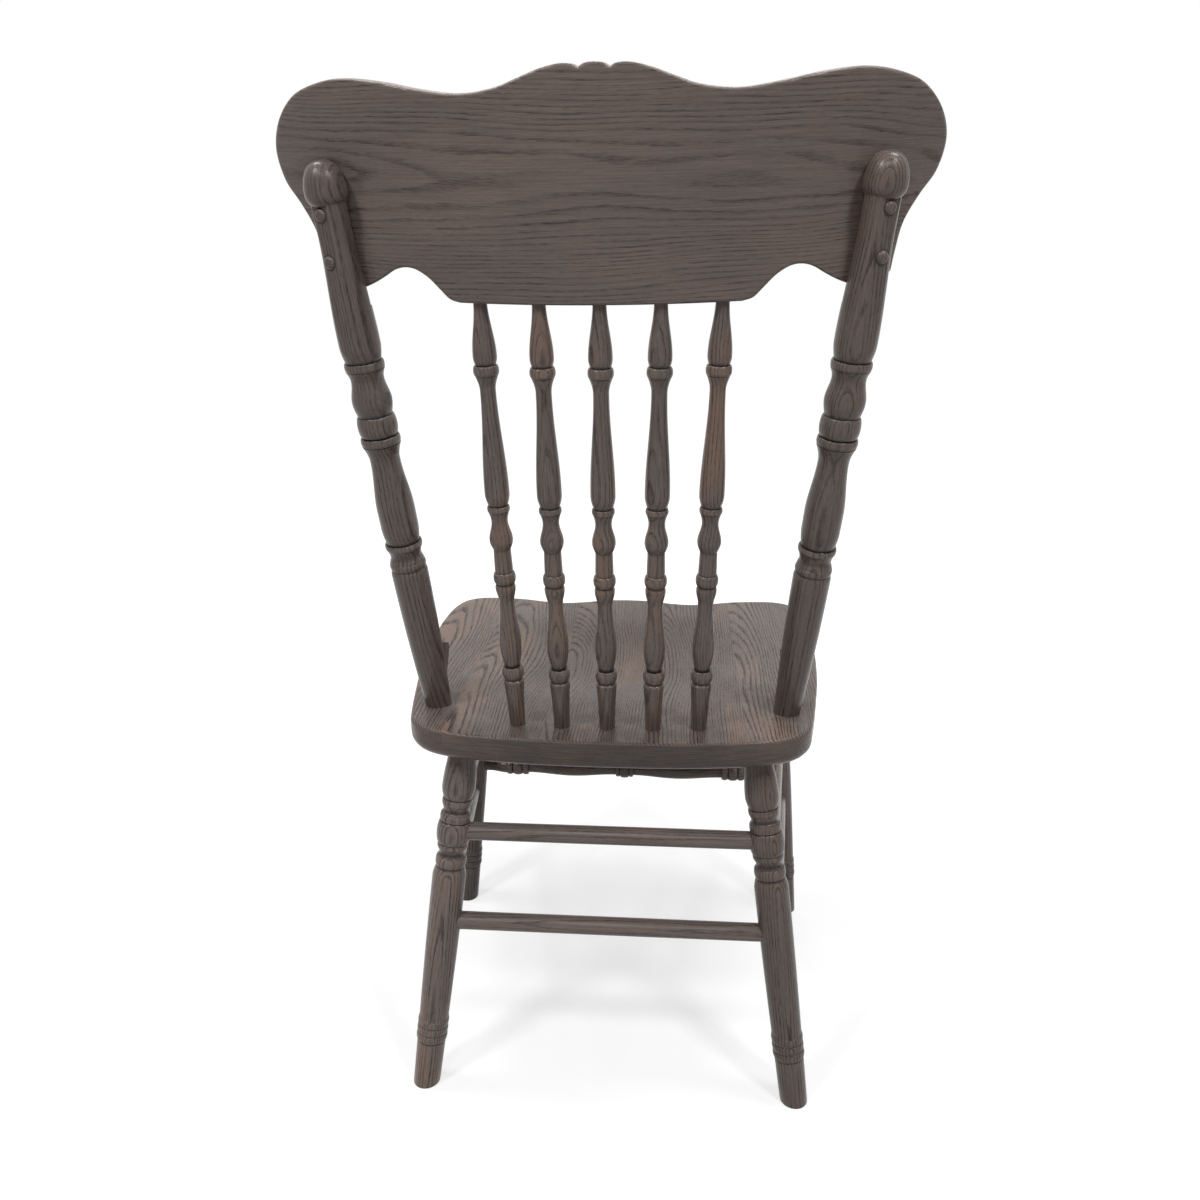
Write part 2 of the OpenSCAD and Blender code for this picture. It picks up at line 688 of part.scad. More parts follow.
// Seat outline, half from the rear middle round to the front middle, as
// [x, distance behind the front edge]
half_seat = seat_width / 2;
function seat_side(inset, from_back) = [half_seat - inset, seat_depth - from_back];
seat_half = curve([
    [0, seat_depth], [60, seat_depth - 1], [112, seat_depth - 5],
    seat_side(88, 12), seat_side(56, 24), seat_side(38, 43), seat_side(31, 68),
    seat_side(22, 117), seat_side(12.5, 177), seat_side(5, 247), seat_side(0, 320),
    [half_seat + 0.5, 92], [half_seat - 3, 46], [half_seat - 14, 15], [half_seat - 36, 1],
    [half_seat - 66, 0], [148, front_bay * 0.22], [118, front_bay * 0.72], [90, front_bay],
    [60, front_bay * 0.72], [30, front_bay * 0.2], [0, 1]], 2);
seat_ring = let (h = tidy(seat_half), n = len(h))
    concat(h, [for (i = [n - 2:-1:1]) [-h[i].x, h[i].y]]);
ring_count = len(seat_ring);
// Direction into the board at each point of the outline
function inward(i) = let (
    a = seat_ring[(i + ring_count - 1) % ring_count],
    b = seat_ring[(i + 1) % ring_count],
    t = (b - a) / norm(b - a))
    [t.y, -t.x];
function seat_edge(i, inset) = seat_ring[i] + inset * inward(i);
// The hollow is deepest behind the middle, with a low ridge at the front
function smooth(t) = let (c = min(1, max(0, t))) c * c * (3 - 2 * c);
hollow_middle = [0, 218];
hollow_reach = [seat_width / 2 - 38, 168];
function hollow(x, y) = let (
    u = (x - hollow_middle.x) / hollow_reach.x,
    v = (y - hollow_middle.y) / hollow_reach.y,
    away = sqrt(u * u + v * v),
    ridge = exp(-x * x / 2500) * smooth((hollow_middle.y - y) / 150))
    seat_hollow * smooth(1.35 * (1 - away)) * (1 - 0.55 * ridge);
round_steps = 4;
top_steps = 8;
centre = [0, 235];
// Rings from the middle of the underside, round the edge, to the middle of the top
under_rings = [for (k = [1:2]) [for (i = [0:ring_count - 1])
    let (p = centre + (seat_edge(i, seat_bottom_round) - centre) * k / 2) [p.x, p.y, -seat_thickness]]];
lower_rings = [for (k = [1:round_steps]) let (w = 90 * k / round_steps) [for (i = [0:ring_count - 1])
    let (p = seat_edge(i, seat_bottom_round * (1 - sin(w))))
    [p.x, p.y, -seat_thickness + seat_bottom_round * (1 - cos(w))]]];
upper_rings = [for (k = [0:round_steps]) let (w = 90 * k / round_steps) [for (i = [0:ring_count - 1])
    let (p = seat_edge(i, seat_top_round * (1 - cos(w))))
    [p.x, p.y, -seat_top_round + seat_top_round * sin(w)]]];
top_rings = [for (k = [1:top_steps - 1]) [for (i = [0:ring_count - 1])
    let (p = centre + (seat_edge(i, seat_top_round) - centre) * (1 - k / top_steps))
    [p.x, p.y, -hollow(p.x, p.y)]]];
seat_rings = concat(under_rings, lower_rings, upper_rings, top_rings);
module seat_blank() {
    rows = len(seat_rings);
    points = concat(
        [[centre.x, centre.y, -seat_thickness]],
        [for (r = seat_rings) for (p = r) p],
        [[centre.x, centre.y, -hollow(centre.x, centre.y)]]);
    last = len(points) - 1;
    faces = concat(
        [for (i = [0:ring_count - 1]) [0, 1 + i, 1 + (i + 1) % ring_count]],
        [for (r = [0:rows - 2]) for (i = [0:ring_count - 1])
            let (a = 1 + r * ring_count, j = (i + 1) % ring_count)
            [a + i, a + ring_count + i, a + j]],
        [for (r = [0:rows - 2]) for (i = [0:ring_count - 1])
            let (a = 1 + r * ring_count, j = (i + 1) % ring_count)
            [a + j, a + ring_count + i, a + ring_count + j]],
        [for (i = [0:ring_count - 1]) let (a = 1 + (rows - 1) * ring_count)
            [last, a + (i + 1) % ring_count, a + i]]);
    translate([0, front_y - hinge_y, 0])
        polyhedron(points, faces);
}
module seat() {
    color(seat_colour)
        difference() {
            on_seat_plane()
                seat_blank();
            for (side = [left, right]) {
                for (front = [true, false]) {
                    top = leg_top(side, front);
                    inside = toward(top, leg_foot(side, front), -leg_end_depth - face_gap);
                    along(inside, leg_foot(side, front))
                        cylinder(h = 2 * leg_end_depth, d = leg_end + 2 * glue_gap);
                }
                along(post_point(side, -post_end_depth - face_gap), post_top(side))
                    cylinder(h = 2 * post_end_depth, d = post_end + 2 * glue_gap);
            }
            for (k = [-2:2])
                along(toward(spindle_base(k), spindle_top(k), -spindle_seat_depth - face_gap), spindle_top(k))
                    cylinder(h = 2 * spindle_seat_depth, r = spindle_seat_end + glue_gap);
        }
}

seat();
leg(left, true);  // leg_front_left
leg(right, true);  // leg_front_right
leg(left, false);  // leg_rear_left
leg(right, false);  // leg_rear_right
turned_stretcher_bar(front_high);  // front_stretcher_upper
turned_stretcher_bar(front_low);  // front_stretcher_lower
dowel(rear_high);  // rear_stretcher_upper
dowel(rear_low);  // rear_stretcher_lower
dowel(side_high(left));  // side_stretcher_upper_left
dowel(side_low(left));  // side_stretcher_lower_left
dowel(side_high(right));  // side_stretcher_upper_right
dowel(side_low(right));  // side_stretcher_lower_right
back_post(left);  // back_post_left
back_post(right);  // back_post_right
post_brace(left);  // post_brace_left
post_brace(right);  // post_brace_right
spindle(2);  // spindle_1
spindle(1);  // spindle_2
spindle(0);  // spindle_3
spindle(-1);  // spindle_4
spindle(-2);  // spindle_5
crest_rail();
crest_screws();
screw_plugs();
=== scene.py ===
import math
from contextlib import contextmanager
from functools import partialmethod

import bpy
import numpy as np
from mathutils import Matrix, Vector


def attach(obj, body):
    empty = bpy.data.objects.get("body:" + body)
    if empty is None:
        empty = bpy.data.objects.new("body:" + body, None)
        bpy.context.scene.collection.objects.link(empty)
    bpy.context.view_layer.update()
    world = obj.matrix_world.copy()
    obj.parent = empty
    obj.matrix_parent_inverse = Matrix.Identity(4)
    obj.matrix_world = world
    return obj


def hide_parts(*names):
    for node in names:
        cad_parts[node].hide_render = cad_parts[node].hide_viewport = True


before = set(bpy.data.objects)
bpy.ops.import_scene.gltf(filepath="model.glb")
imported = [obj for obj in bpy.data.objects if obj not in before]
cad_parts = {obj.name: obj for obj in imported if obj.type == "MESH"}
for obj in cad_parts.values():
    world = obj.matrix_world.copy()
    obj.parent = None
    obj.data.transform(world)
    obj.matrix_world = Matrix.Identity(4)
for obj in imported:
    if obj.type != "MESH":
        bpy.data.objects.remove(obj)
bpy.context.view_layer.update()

# The chair stands on the floor at the origin. The sitter faces -Y and +X is the sitter's left.
# Sizes are in millimetres, as in the part, and MM turns them into metres.
MM = 0.001
LEFT, RIGHT = 1, -1

# Seat
SEAT_WIDTH, SEAT_DEPTH, SEAT_THICKNESS, SEAT_HEIGHT = 492, 457, 34, 445
SEAT_SLOPE = math.radians(1.5)
SEAT_HOLLOW, FRONT_BAY, SEAT_TOP_ROUND, SEAT_BOTTOM_ROUND = 9, 18, 4, 16

# Legs and stretchers
REAR_LEG_INSET, REAR_LEG_SETBACK, REAR_SPLAY_OUT, REAR_SPLAY_BACK = 89, 58, 54, 41
FRONT_LEG_INSET, FRONT_LEG_SETBACK, FRONT_SPLAY_OUT, FRONT_SPLAY_BACK = 44, 64, 37, 10
LEG_BALL, LEG_END, LEG_END_DEPTH = 38, 29, 20
STRETCHER_DOWEL, STRETCHER_END_GAP = 20, 6
REAR_LOW_DROP, FRONT_LOW_DROP = 107, 100
SIDE_HIGH_DROPS, SIDE_LOW_DROPS = (25, 58), (79, 136)
TURNED_STRETCHER, TURNED_END = 25, 15

# Back posts and the blocks in front of them
POST_INSET, POST_SETBACK, POST_RISE, POST_LEAN_BACK, POST_LEAN_OUT = 57.5, 85, 533, 115, 43.4
POST_END, POST_WIDTH, POST_END_DEPTH, POST_CREST_WOOD = 28, 37.6, 22, 8
KNOB_HEIGHT, POST_FLAT, POST_FLAT_FADE = 25, 11.6, 6
BRACE_WIDTH, BRACE_HEIGHT, BRACE_REACH, BRACE_FOOT_REACH, BRACE_SHOULDER = 18, 64, 40, 24, 5
BRACE_FOOT_TAPER, BRACE_ROUND, BRACE_REAR_RISE, BRACE_FRONT_FALL = 5, 9, 11, 8

# Spindles
SPINDLE_PITCH_SEAT, SPINDLE_PITCH_CREST, SPINDLE_SETBACK, SPINDLE_ROW_RADIUS = 47, 51.5, 36, 1160
SPINDLE_WIDTH, SPINDLE_SEAT_DEPTH, SPINDLE_CREST_DEPTH = 23.2, 18, 15

# Crest rail and its plugs
CREST_WIDTH, CREST_HEIGHT, CREST_EAR, CREST_VALLEY, CREST_ARCH = 568, 177, 169.5, 157.5, 27
CREST_THICKNESS, CREST_LEVEL, CREST_BEND = 20, 863, 520
PLUG_HEAD, PLUG_DOME, PLUG_TOP_DROP, PLUG_PITCH = 11, 3, 42, 38
FACE_GAP = 0.1

# Meshes: edges round a turning, steps in a curve of its profile, its least step, and how near two points are one
SIDES, SPINDLE_SIDES, PLUG_SIDES = 72, 56, 40
CURVE_STEPS = 16
LEAST_STEP = 0.04
TURNED_SEAM, CUT_SEAM, GRID_SEAM = 0.001, 0.004, 0.01
SHARP = math.radians(22)

# Relief of a turning: how far round a height its surroundings reach, and the step and number of heights taken
RELIEF_REACH, RELIEF_STEP, RELIEF_SPAN = 4.0, 0.5, 20

back_lean = math.atan2(POST_LEAN_BACK, POST_RISE)
rise_to_crest = (CREST_LEVEL - SEAT_HEIGHT) / POST_RISE
post_x_at_crest = SEAT_WIDTH / 2 - POST_INSET + POST_LEAN_OUT * rise_to_crest


def bend_depth(x, radius):
    """How far a curve of this radius has fallen back at x from its middle."""
    return radius - math.sqrt(radius * radius - x * x)


crest_back_reach = CREST_HEIGHT * math.sin(back_lean) + CREST_THICKNESS / 2 * math.cos(back_lean)
post_to_crest = (POST_CREST_WOOD + CREST_THICKNESS / 2) / math.cos(math.asin(post_x_at_crest / CREST_BEND))
crest_depth_y = (
    SEAT_DEPTH - POST_SETBACK + POST_LEAN_BACK * rise_to_crest - post_to_crest
    + bend_depth(post_x_at_crest, CREST_BEND) / math.cos(back_lean)
)
front_y = -(crest_depth_y + crest_back_reach) / 2
rear_y = front_y + SEAT_DEPTH
hinge_y = rear_y - REAR_LEG_SETBACK


def seat_top(y):
    return SEAT_HEIGHT + (hinge_y - y) * math.tan(SEAT_SLOPE)


def leg_top(side, front):
    inset, setback = (FRONT_LEG_INSET, FRONT_LEG_SETBACK) if front else (REAR_LEG_INSET, REAR_LEG_SETBACK)
    y = front_y + setback if front else rear_y - setback
    return Vector((side * (SEAT_WIDTH / 2 - inset), y, seat_top(y) - SEAT_THICKNESS / math.cos(SEAT_SLOPE)))


def leg_foot(side, front):
    out, back = (FRONT_SPLAY_OUT, FRONT_SPLAY_BACK) if front else (REAR_SPLAY_OUT, REAR_SPLAY_BACK)
    top = leg_top(side, front)
    return Vector((top.x + side * out, top.y + back, 0))


def leg_point(side, front, height):
    foot, top = leg_foot(side, front), leg_top(side, front)
    return foot + (top - foot) * height / top.z


def post_base(side):
    y = rear_y - POST_SETBACK
    return Vector((side * (SEAT_WIDTH / 2 - POST_INSET), y, seat_top(y)))


def post_top(side):
    base = post_base(side)
    return Vector((base.x + side * POST_LEAN_OUT, base.y + POST_LEAN_BACK, SEAT_HEIGHT + POST_RISE))


post_length = (post_top(LEFT) - post_base(LEFT)).length


def post_point(side, distance):
    base = post_base(side)
    return base + (post_top(side) - base) * distance / post_length


def spindle_base(k):
    x = k * SPINDLE_PITCH_SEAT
    y = rear_y - SPINDLE_SETBACK - bend_depth(x, SPINDLE_ROW_RADIUS)
    return Vector((x, y, seat_top(y)))


def spindle_top(k):
    x = k * SPINDLE_PITCH_CREST
    sag = bend_depth(x, CREST_BEND)
    return Vector((x, front_y + crest_depth_y - sag * math.cos(back_lean), CREST_LEVEL + sag * math.sin(back_lean)))


def toward(start, end, distance):
    return start + (end - start).normalized() * distance


def stand(start, end, turn=0.0):
    """Matrix, in metres, that stands what is modelled on the origin along +Z on the line from start to end."""
    tilt = Vector((0, 0, 1)).rotation_difference(end - start).to_matrix()
    return Matrix.Translation(start * MM) @ (tilt @ Matrix.Rotation(turn, 3, "Z")).to_4x4()


seat_frame = Matrix.Translation(Vector((0, hinge_y, SEAT_HEIGHT)) * MM) @ Matrix.Rotation(-SEAT_SLOPE, 4, "X")
crest_foot = Vector((0, front_y + crest_depth_y, CREST_LEVEL))
crest_frame = Matrix.Translation(crest_foot * MM) @ Matrix.Rotation(-back_lean, 4, "X")


# Turned profiles: each stretch is its kind, its length and its first and second radius
def total(stretches):
    return sum(stretch[1] for stretch in stretches)


def from_stock(radius, stretches):
    """Stretches given by how far each end is cut below the stock's radius."""
    return [(kind, length, radius - first, radius - second) for kind, length, first, second in stretches]


def mirrored(stretches):
    swapped = {"flare": "shoulder", "shoulder": "flare"}
    return [
        (kind, length, first, second) if kind == "bead" else (swapped.get(kind, kind), length, second, first)
        for kind, length, first, second in reversed(stretches)
    ]


def profile_points(stretches):
    """Points (radius, height) along a turned profile, closed to the axis at both ends."""
    points = [(0.0, 0.0)]
    base = 0.0
    for kind, length, first, second in stretches:
        steps = 2 if kind == "cone" else CURVE_STEPS
        for i in range(steps + 1):
            share = i / steps
            height = share
            if kind == "cone":
                run = share
            elif kind == "ease":
                run = (1 - math.cos(math.pi * share)) / 2
            elif kind == "flare":
                run = 1 - math.cos(math.pi / 2 * share)
            elif kind == "shoulder":
                run = math.sin(math.pi / 2 * share)
            else:
                run = math.sin(math.pi * share)
                height = (1 - math.cos(math.pi * share)) / 2
            points.append((first + (second - first) * run, base + length * height))
        base += length
    points.append((0.0, base))
    kept = points[:1]
    for point in points[1:]:
        if math.dist(point, kept[-1]) > LEAST_STEP:
            kept.append(point)
    return kept


leg_wide = LEG_BALL / 2
FOOT_HEIGHT, FOOT_SPARE = 55.5, 4.0
FOOT_RADIUS, ANKLE_RADIUS = 15.1, 16.2
FOOT_BEADS = from_stock(ANKLE_RADIUS, [("bead", 2, 0, 0.6)] + 3 * [("bead", 9.5, 0, -1.4)])
LEG_SHOULDER = from_stock(leg_wide, [
    ("flare", 13.5, 0.4, 3.5),
    ("bead", 12, 3.7, 2),
    ("ease", 3.5, 4, 5.15),
    ("flare", 6, 5.15, 3),
    ("bead", 6, 3.2, 2.25),
])
LEG_UPPER = from_stock(leg_wide, [
    ("bead", 9, 3.1, 2.05),
    ("ease", 3.5, 3.4, 4.85),
    ("flare", 6.5, 4.85, 3.1),
    ("bead", 7, 3.5, 2.5),
    ("shoulder", 13.5, 3.8, 0.8),
])
LEG_BALL_HEIGHT, LEG_NECK_HEIGHT = 26, 49
ball_drop = LEG_NECK_HEIGHT + total(LEG_UPPER) + LEG_BALL_HEIGHT / 2


def leg_length(front):
    return (leg_top(LEFT, front) - leg_foot(LEFT, front)).length


def leg_profile(front):
    above = ball_drop + LEG_BALL_HEIGHT / 2 + total(LEG_SHOULDER)
    taper = leg_length(front) - FOOT_HEIGHT - total(FOOT_BEADS) - above
    return (
        [("cone", FOOT_HEIGHT + FOOT_SPARE, FOOT_RADIUS, ANKLE_RADIUS)]
        + FOOT_BEADS
        + [("shoulder", taper, ANKLE_RADIUS + 0.4, leg_wide - 0.4)]
        + LEG_SHOULDER
        + [("bead", LEG_BALL_HEIGHT, leg_wide - 3.2, leg_wide)]
        + LEG_UPPER
        + [("ease", LEG_NECK_HEIGHT, leg_wide - 0.8, LEG_END / 2)]
        + [("cone", LEG_END_DEPTH, LEG_END / 2, LEG_END / 2)]
    )


def ball_height(front):
    return leg_top(LEFT, front).z * (1 - ball_drop / leg_length(front))


rear_high = ball_height(False)
front_high = ball_height(True)

half_turned = TURNED_STRETCHER / 2
SMALL_BEAD, SIDE_BEAD = ("bead", 6, 3, 1.2), ("bead", 9, 2.6, 0.5)
MIDDLE_BEADS = from_stock(half_turned, [SMALL_BEAD, ("bead", 13, 2.5, 0), SMALL_BEAD])
SIDE_BEADS = from_stock(half_turned, [SIDE_BEAD, ("bead", 14, 2.8, 0), SIDE_BEAD])
TURNED_END_PLAIN = 18
SWELL_SHARE = 0.42


def turned_stretcher_profile(length):
    free = length / 2 - total(MIDDLE_BEADS) / 2 - total(SIDE_BEADS) - TURNED_END_PLAIN
    swell = free * SWELL_SHARE
    half = (
        [("cone", TURNED_END_PLAIN, TURNED_END / 2, TURNED_END / 2)]
        + [("ease", free - 2 * swell, TURNED_END / 2, half_turned - 2.4)]
        + SIDE_BEADS
        + from_stock(half_turned, [("ease", swell, 4, 0.6), ("ease", swell, 0.6, 4)])
    )
    return half + MIDDLE_BEADS + mirrored(half)


fat = POST_WIDTH / 2
POST_LOWER = [("shoulder", 163.5, POST_END / 2, fat - 0.4), ("flare", 5.5, fat - 0.4, fat - 1.8)]
POST_MIDDLE = from_stock(fat, [
    ("bead", 7, 1.8, 0.7),
    ("ease", 7, 1.6, 3.3),
    ("flare", 8, 3.3, 1.4),
    ("bead", 6.5, 1.4, 0.3),
    ("shoulder", 17.5, 2.6, 0.45),
    ("ease", 17, 0.45, 0.4),
    ("ease", 52, 0.4, 4.6),
    ("flare", 15.5, 4.6, 0.6),
    ("bead", 8.5, 1.6, 0),
    ("bead", 20.5, 2.9, 0.15),
    ("shoulder", 13.5, 2.8, 0.3),
    ("ease", 20, 0.3, 3.6),
    ("flare", 9, 3.6, 1),
    ("bead", 7.5, 1.6, 0.5),
    ("shoulder", 16, 2.7, 0.15),
])
POST_NECK_HEIGHT = 29
post_neck_radius = fat - 4
post_upper_shaft = post_length - total(POST_LOWER) - total(POST_MIDDLE) - POST_NECK_HEIGHT - KNOB_HEIGHT
POST_PROFILE = (
    [("cone", POST_END_DEPTH, POST_END / 2, POST_END / 2)]
    + POST_LOWER
    + POST_MIDDLE
    + [("ease", post_upper_shaft, fat - 0.15, post_neck_radius)]
    + [("cone", POST_NECK_HEIGHT, post_neck_radius, post_neck_radius)]
)
knob_radius = fat - 0.5
KNOB_UNDER = 15

thick = SPINDLE_WIDTH / 2
SPINDLE_LOWER = from_stock(thick, [
    ("flare", 53, 3.4, 1.1),
    ("ease", 3, 1.1, 3),
    ("bead", 14, 3, 0.7),
    ("shoulder", 25, 4.2, 0.8),
    ("ease", 47.5, 0.8, 4.1),
    ("ease", 15, 4.1, 1.7),
    ("flare", 4.5, 1.7, 2.8),
    ("bead", 12, 3.2, 0.7),
    ("ease", 24, 2.8, 3.25),
    ("shoulder", 9.5, 3.2, 0.35),
    ("ease", 18.5, 0.35, 3.8),
    ("flare", 9.5, 3.8, 1.9),
    ("bead", 6.5, 2.3, 0.9),
    ("shoulder", 12, 2.6, 0),
])
SPINDLE_UPPER = from_stock(thick, [
    ("flare", 13, 4.55, 1.4),
    ("bead", 9.5, 2, 0.1),
    ("shoulder", 7.5, 2.5, 1),
    ("ease", 46, 1, 5.7),
])
spindle_seat_end, spindle_crest_end = SPINDLE_LOWER[0][2], SPINDLE_UPPER[-1][3]


def spindle_profile(k):
    vase = (spindle_top(k) - spindle_base(k)).length - total(SPINDLE_LOWER) - total(SPINDLE_UPPER)
    return (
        [("cone", SPINDLE_SEAT_DEPTH, spindle_seat_end, spindle_seat_end)]
        + SPINDLE_LOWER
        + [("ease", vase, thick, SPINDLE_UPPER[0][2])]
        + SPINDLE_UPPER
        + [("cone", SPINDLE_CREST_DEPTH, spindle_crest_end, spindle_crest_end)]
    )


# Modelling, by Blender's own commands
def select_only(*objects):
    bpy.ops.object.select_all(action="DESELECT")
    for each in objects:
        each.select_set(True)
    bpy.context.view_layer.objects.active = objects[0]


def primitive(add, name, **sizes):
    """A new primitive mesh at the origin."""
    bpy.ops.object.select_all(action="DESELECT")
    add(location=(0, 0, 0), **sizes)
    bpy.context.object.name = name
    return bpy.context.object


@contextmanager
def editing(kind="VERT"):
    """Edit mode on the active piece, with all of its mesh selected."""
    bpy.ops.object.mode_set(mode="EDIT")
    bpy.ops.mesh.select_mode(type=kind)
    bpy.ops.mesh.select_all(action="SELECT")
    yield
    bpy.ops.object.mode_set(mode="OBJECT")


def mesh_points(piece):
    flat = np.zeros(len(piece.data.vertices) * 3)
    piece.data.vertices.foreach_get("co", flat)
    return flat.reshape(-1, 3)


def mark_relief(piece, placement, points):
    """Writes on a turned piece how far it stands above or below its surroundings, in millimetres."""
    radii, heights = zip(*points[1:-1])
    levels = np.arange(0, points[-1][1], RELIEF_STEP)
    radii = np.interp(levels, heights, radii)
    offsets = np.arange(-RELIEF_SPAN, RELIEF_SPAN + 1) * RELIEF_STEP
    spread = np.exp(-np.square(offsets / RELIEF_REACH) / 2)
    around = np.convolve(np.pad(radii, RELIEF_SPAN, mode="edge"), spread / spread.sum(), "valid")
    inward = np.array(placement.inverted())
    along = (mesh_points(piece) @ inward[2, :3] + inward[2, 3]) / MM
    marks = piece.data.attributes.get("relief") or piece.data.attributes.new("relief", "FLOAT", "POINT")
    marks.data.foreach_set("value", np.interp(along, levels, radii - around))


def turn(name, points, sides=SIDES):
    """A piece turned on the lathe: a chain of points (radius, height) is drawn out of one vertex and spun."""
    piece = primitive(bpy.ops.mesh.primitive_plane_add, name, size=MM)
    with editing():
        bpy.ops.mesh.merge(type="CENTER")
        bpy.ops.transform.translate(value=(points[0][0] * MM, 0, points[0][1] * MM))
        for (radius, height), (next_radius, next_height) in zip(points, points[1:]):
            step = ((next_radius - radius) * MM, 0, (next_height - height) * MM)
            bpy.ops.mesh.extrude_region_move(TRANSFORM_OT_translate={"value": step})
        bpy.ops.mesh.select_all(action="SELECT")
        bpy.ops.mesh.spin(steps=sides, angle=2 * math.pi, center=(0, 0, 0), axis=(0, 0, 1))
        bpy.ops.mesh.select_all(action="SELECT")
        bpy.ops.mesh.remove_doubles(threshold=TURNED_SEAM * MM)
        bpy.ops.mesh.normals_make_consistent(inside=False)
    mark_relief(piece, Matrix.Identity(4), points)
    return piece


def place(piece, matrix):
    """Moves a piece to its place and puts that place into its mesh."""
    select_only(piece)
    piece.matrix_world = matrix
    bpy.ops.object.transform_apply(location=True, rotation=True, scale=True)
    return piece


def copy_of(piece, name):
    """A copy of a piece with a mesh of its own."""
    select_only(piece)
    bpy.ops.object.duplicate(linked=False)
    bpy.context.object.name = name
    return bpy.context.object


def cut(piece, tool, operation="DIFFERENCE"):
    """Cuts a piece with a tool, or joins the tool to it, and removes the tool."""
    select_only(piece)
    modifier = piece.modifiers.new("cut", "BOOLEAN")
    modifier.operation = operation
    modifier.solver = "EXACT"
    modifier.object = tool
    bpy.ops.object.modifier_apply(modifier=modifier.name)
    bpy.data.objects.remove(tool)


def close_seams(piece):
    """Joins the points that a cut leaves nearly in one place, and drops the slivers between them."""
    select_only(piece)
    with editing():
        bpy.ops.mesh.remove_doubles(threshold=CUT_SEAM * MM)
        bpy.ops.mesh.dissolve_degenerate(threshold=CUT_SEAM * MM)


def block(name, low, high):
    """A rectangular block between two corners, in millimetres."""
    low, high = Vector(low) * MM, Vector(high) * MM
    piece = primitive(bpy.ops.mesh.primitive_cube_add, name, size=1)
    return place(piece, Matrix.Translation((low + high) / 2) @ Matrix.Diagonal((*(high - low), 1)))


def wrapped_grid(name, rows):
    """A closed shell from rows of points, in millimetres: each row closes on itself or ends at a shared point."""
    steps_y, steps_x = len(rows) - 1, len(rows[0]) - 1
    piece = primitive(
        bpy.ops.mesh.primitive_grid_add, name, x_subdivisions=steps_x, y_subdivisions=steps_y, size=1
    )
    flat = mesh_points(piece)
    column = np.rint((flat[:, 0] + 0.5) * steps_x).astype(int)
    row = np.rint((flat[:, 1] + 0.5) * steps_y).astype(int)
    placed = np.asarray(rows, float)[row, column] * MM
    piece.data.vertices.foreach_set("co", placed.ravel())
    piece.data.update()
    with editing():
        bpy.ops.mesh.remove_doubles(threshold=GRID_SEAM * MM)
        bpy.ops.mesh.normals_make_consistent(inside=False)
    return piece


def finish_piece(piece, node, material):
    """Gives a piece its shading and its finish, attaches it to the root body and hides the CAD node that it stands
    in for.
    """
    select_only(piece)
    bpy.ops.object.shade_smooth_by_angle(angle=SHARP)
    piece.data.materials.clear()
    piece.data.materials.append(material)
    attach(piece, "root")
    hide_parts(node)


def curve(points, steps):
    """Smooth curve through chosen points, with the given steps between neighbours."""
    points = [np.array(point, float) for point in points]
    padded = [2 * points[0] - points[1], *points, 2 * points[-1] - points[-2]]
    drawn = []
    for before, start, end, after in zip(padded, padded[1:], padded[2:], padded[3:]):
        for k in range(steps):
            t = k / steps
            drawn.append(0.5 * (
                2 * start + (end - before) * t + (2 * before - 5 * start + 4 * end - after) * t ** 2
                + (3 * start - before - 3 * end + after) * t ** 3
            ))
    drawn.append(points[-1])
    return drawn


# Nodes
class Shade:
    """One number in a finish's nodes. Sums, products and quotients of it add Math nodes."""

    def __init__(self, finish, socket):
        self.finish, self.socket = finish, socket

    def math(self, operation, *others):
        values = {i: other for i, other in enumerate((self, *others))}
        return self.finish.number("ShaderNodeMath", {"operation": operation}, values)

    def __rsub__(self, other):
        return self.finish.number("ShaderNodeMath", {"operation": "SUBTRACT"}, {0: other, 1: self})

    __add__ = __radd__ = partialmethod(math, "ADD")
    __sub__ = partialmethod(math, "SUBTRACT")
    __mul__ = partialmethod(math, "MULTIPLY")
    __truediv__ = partialmethod(math, "DIVIDE")


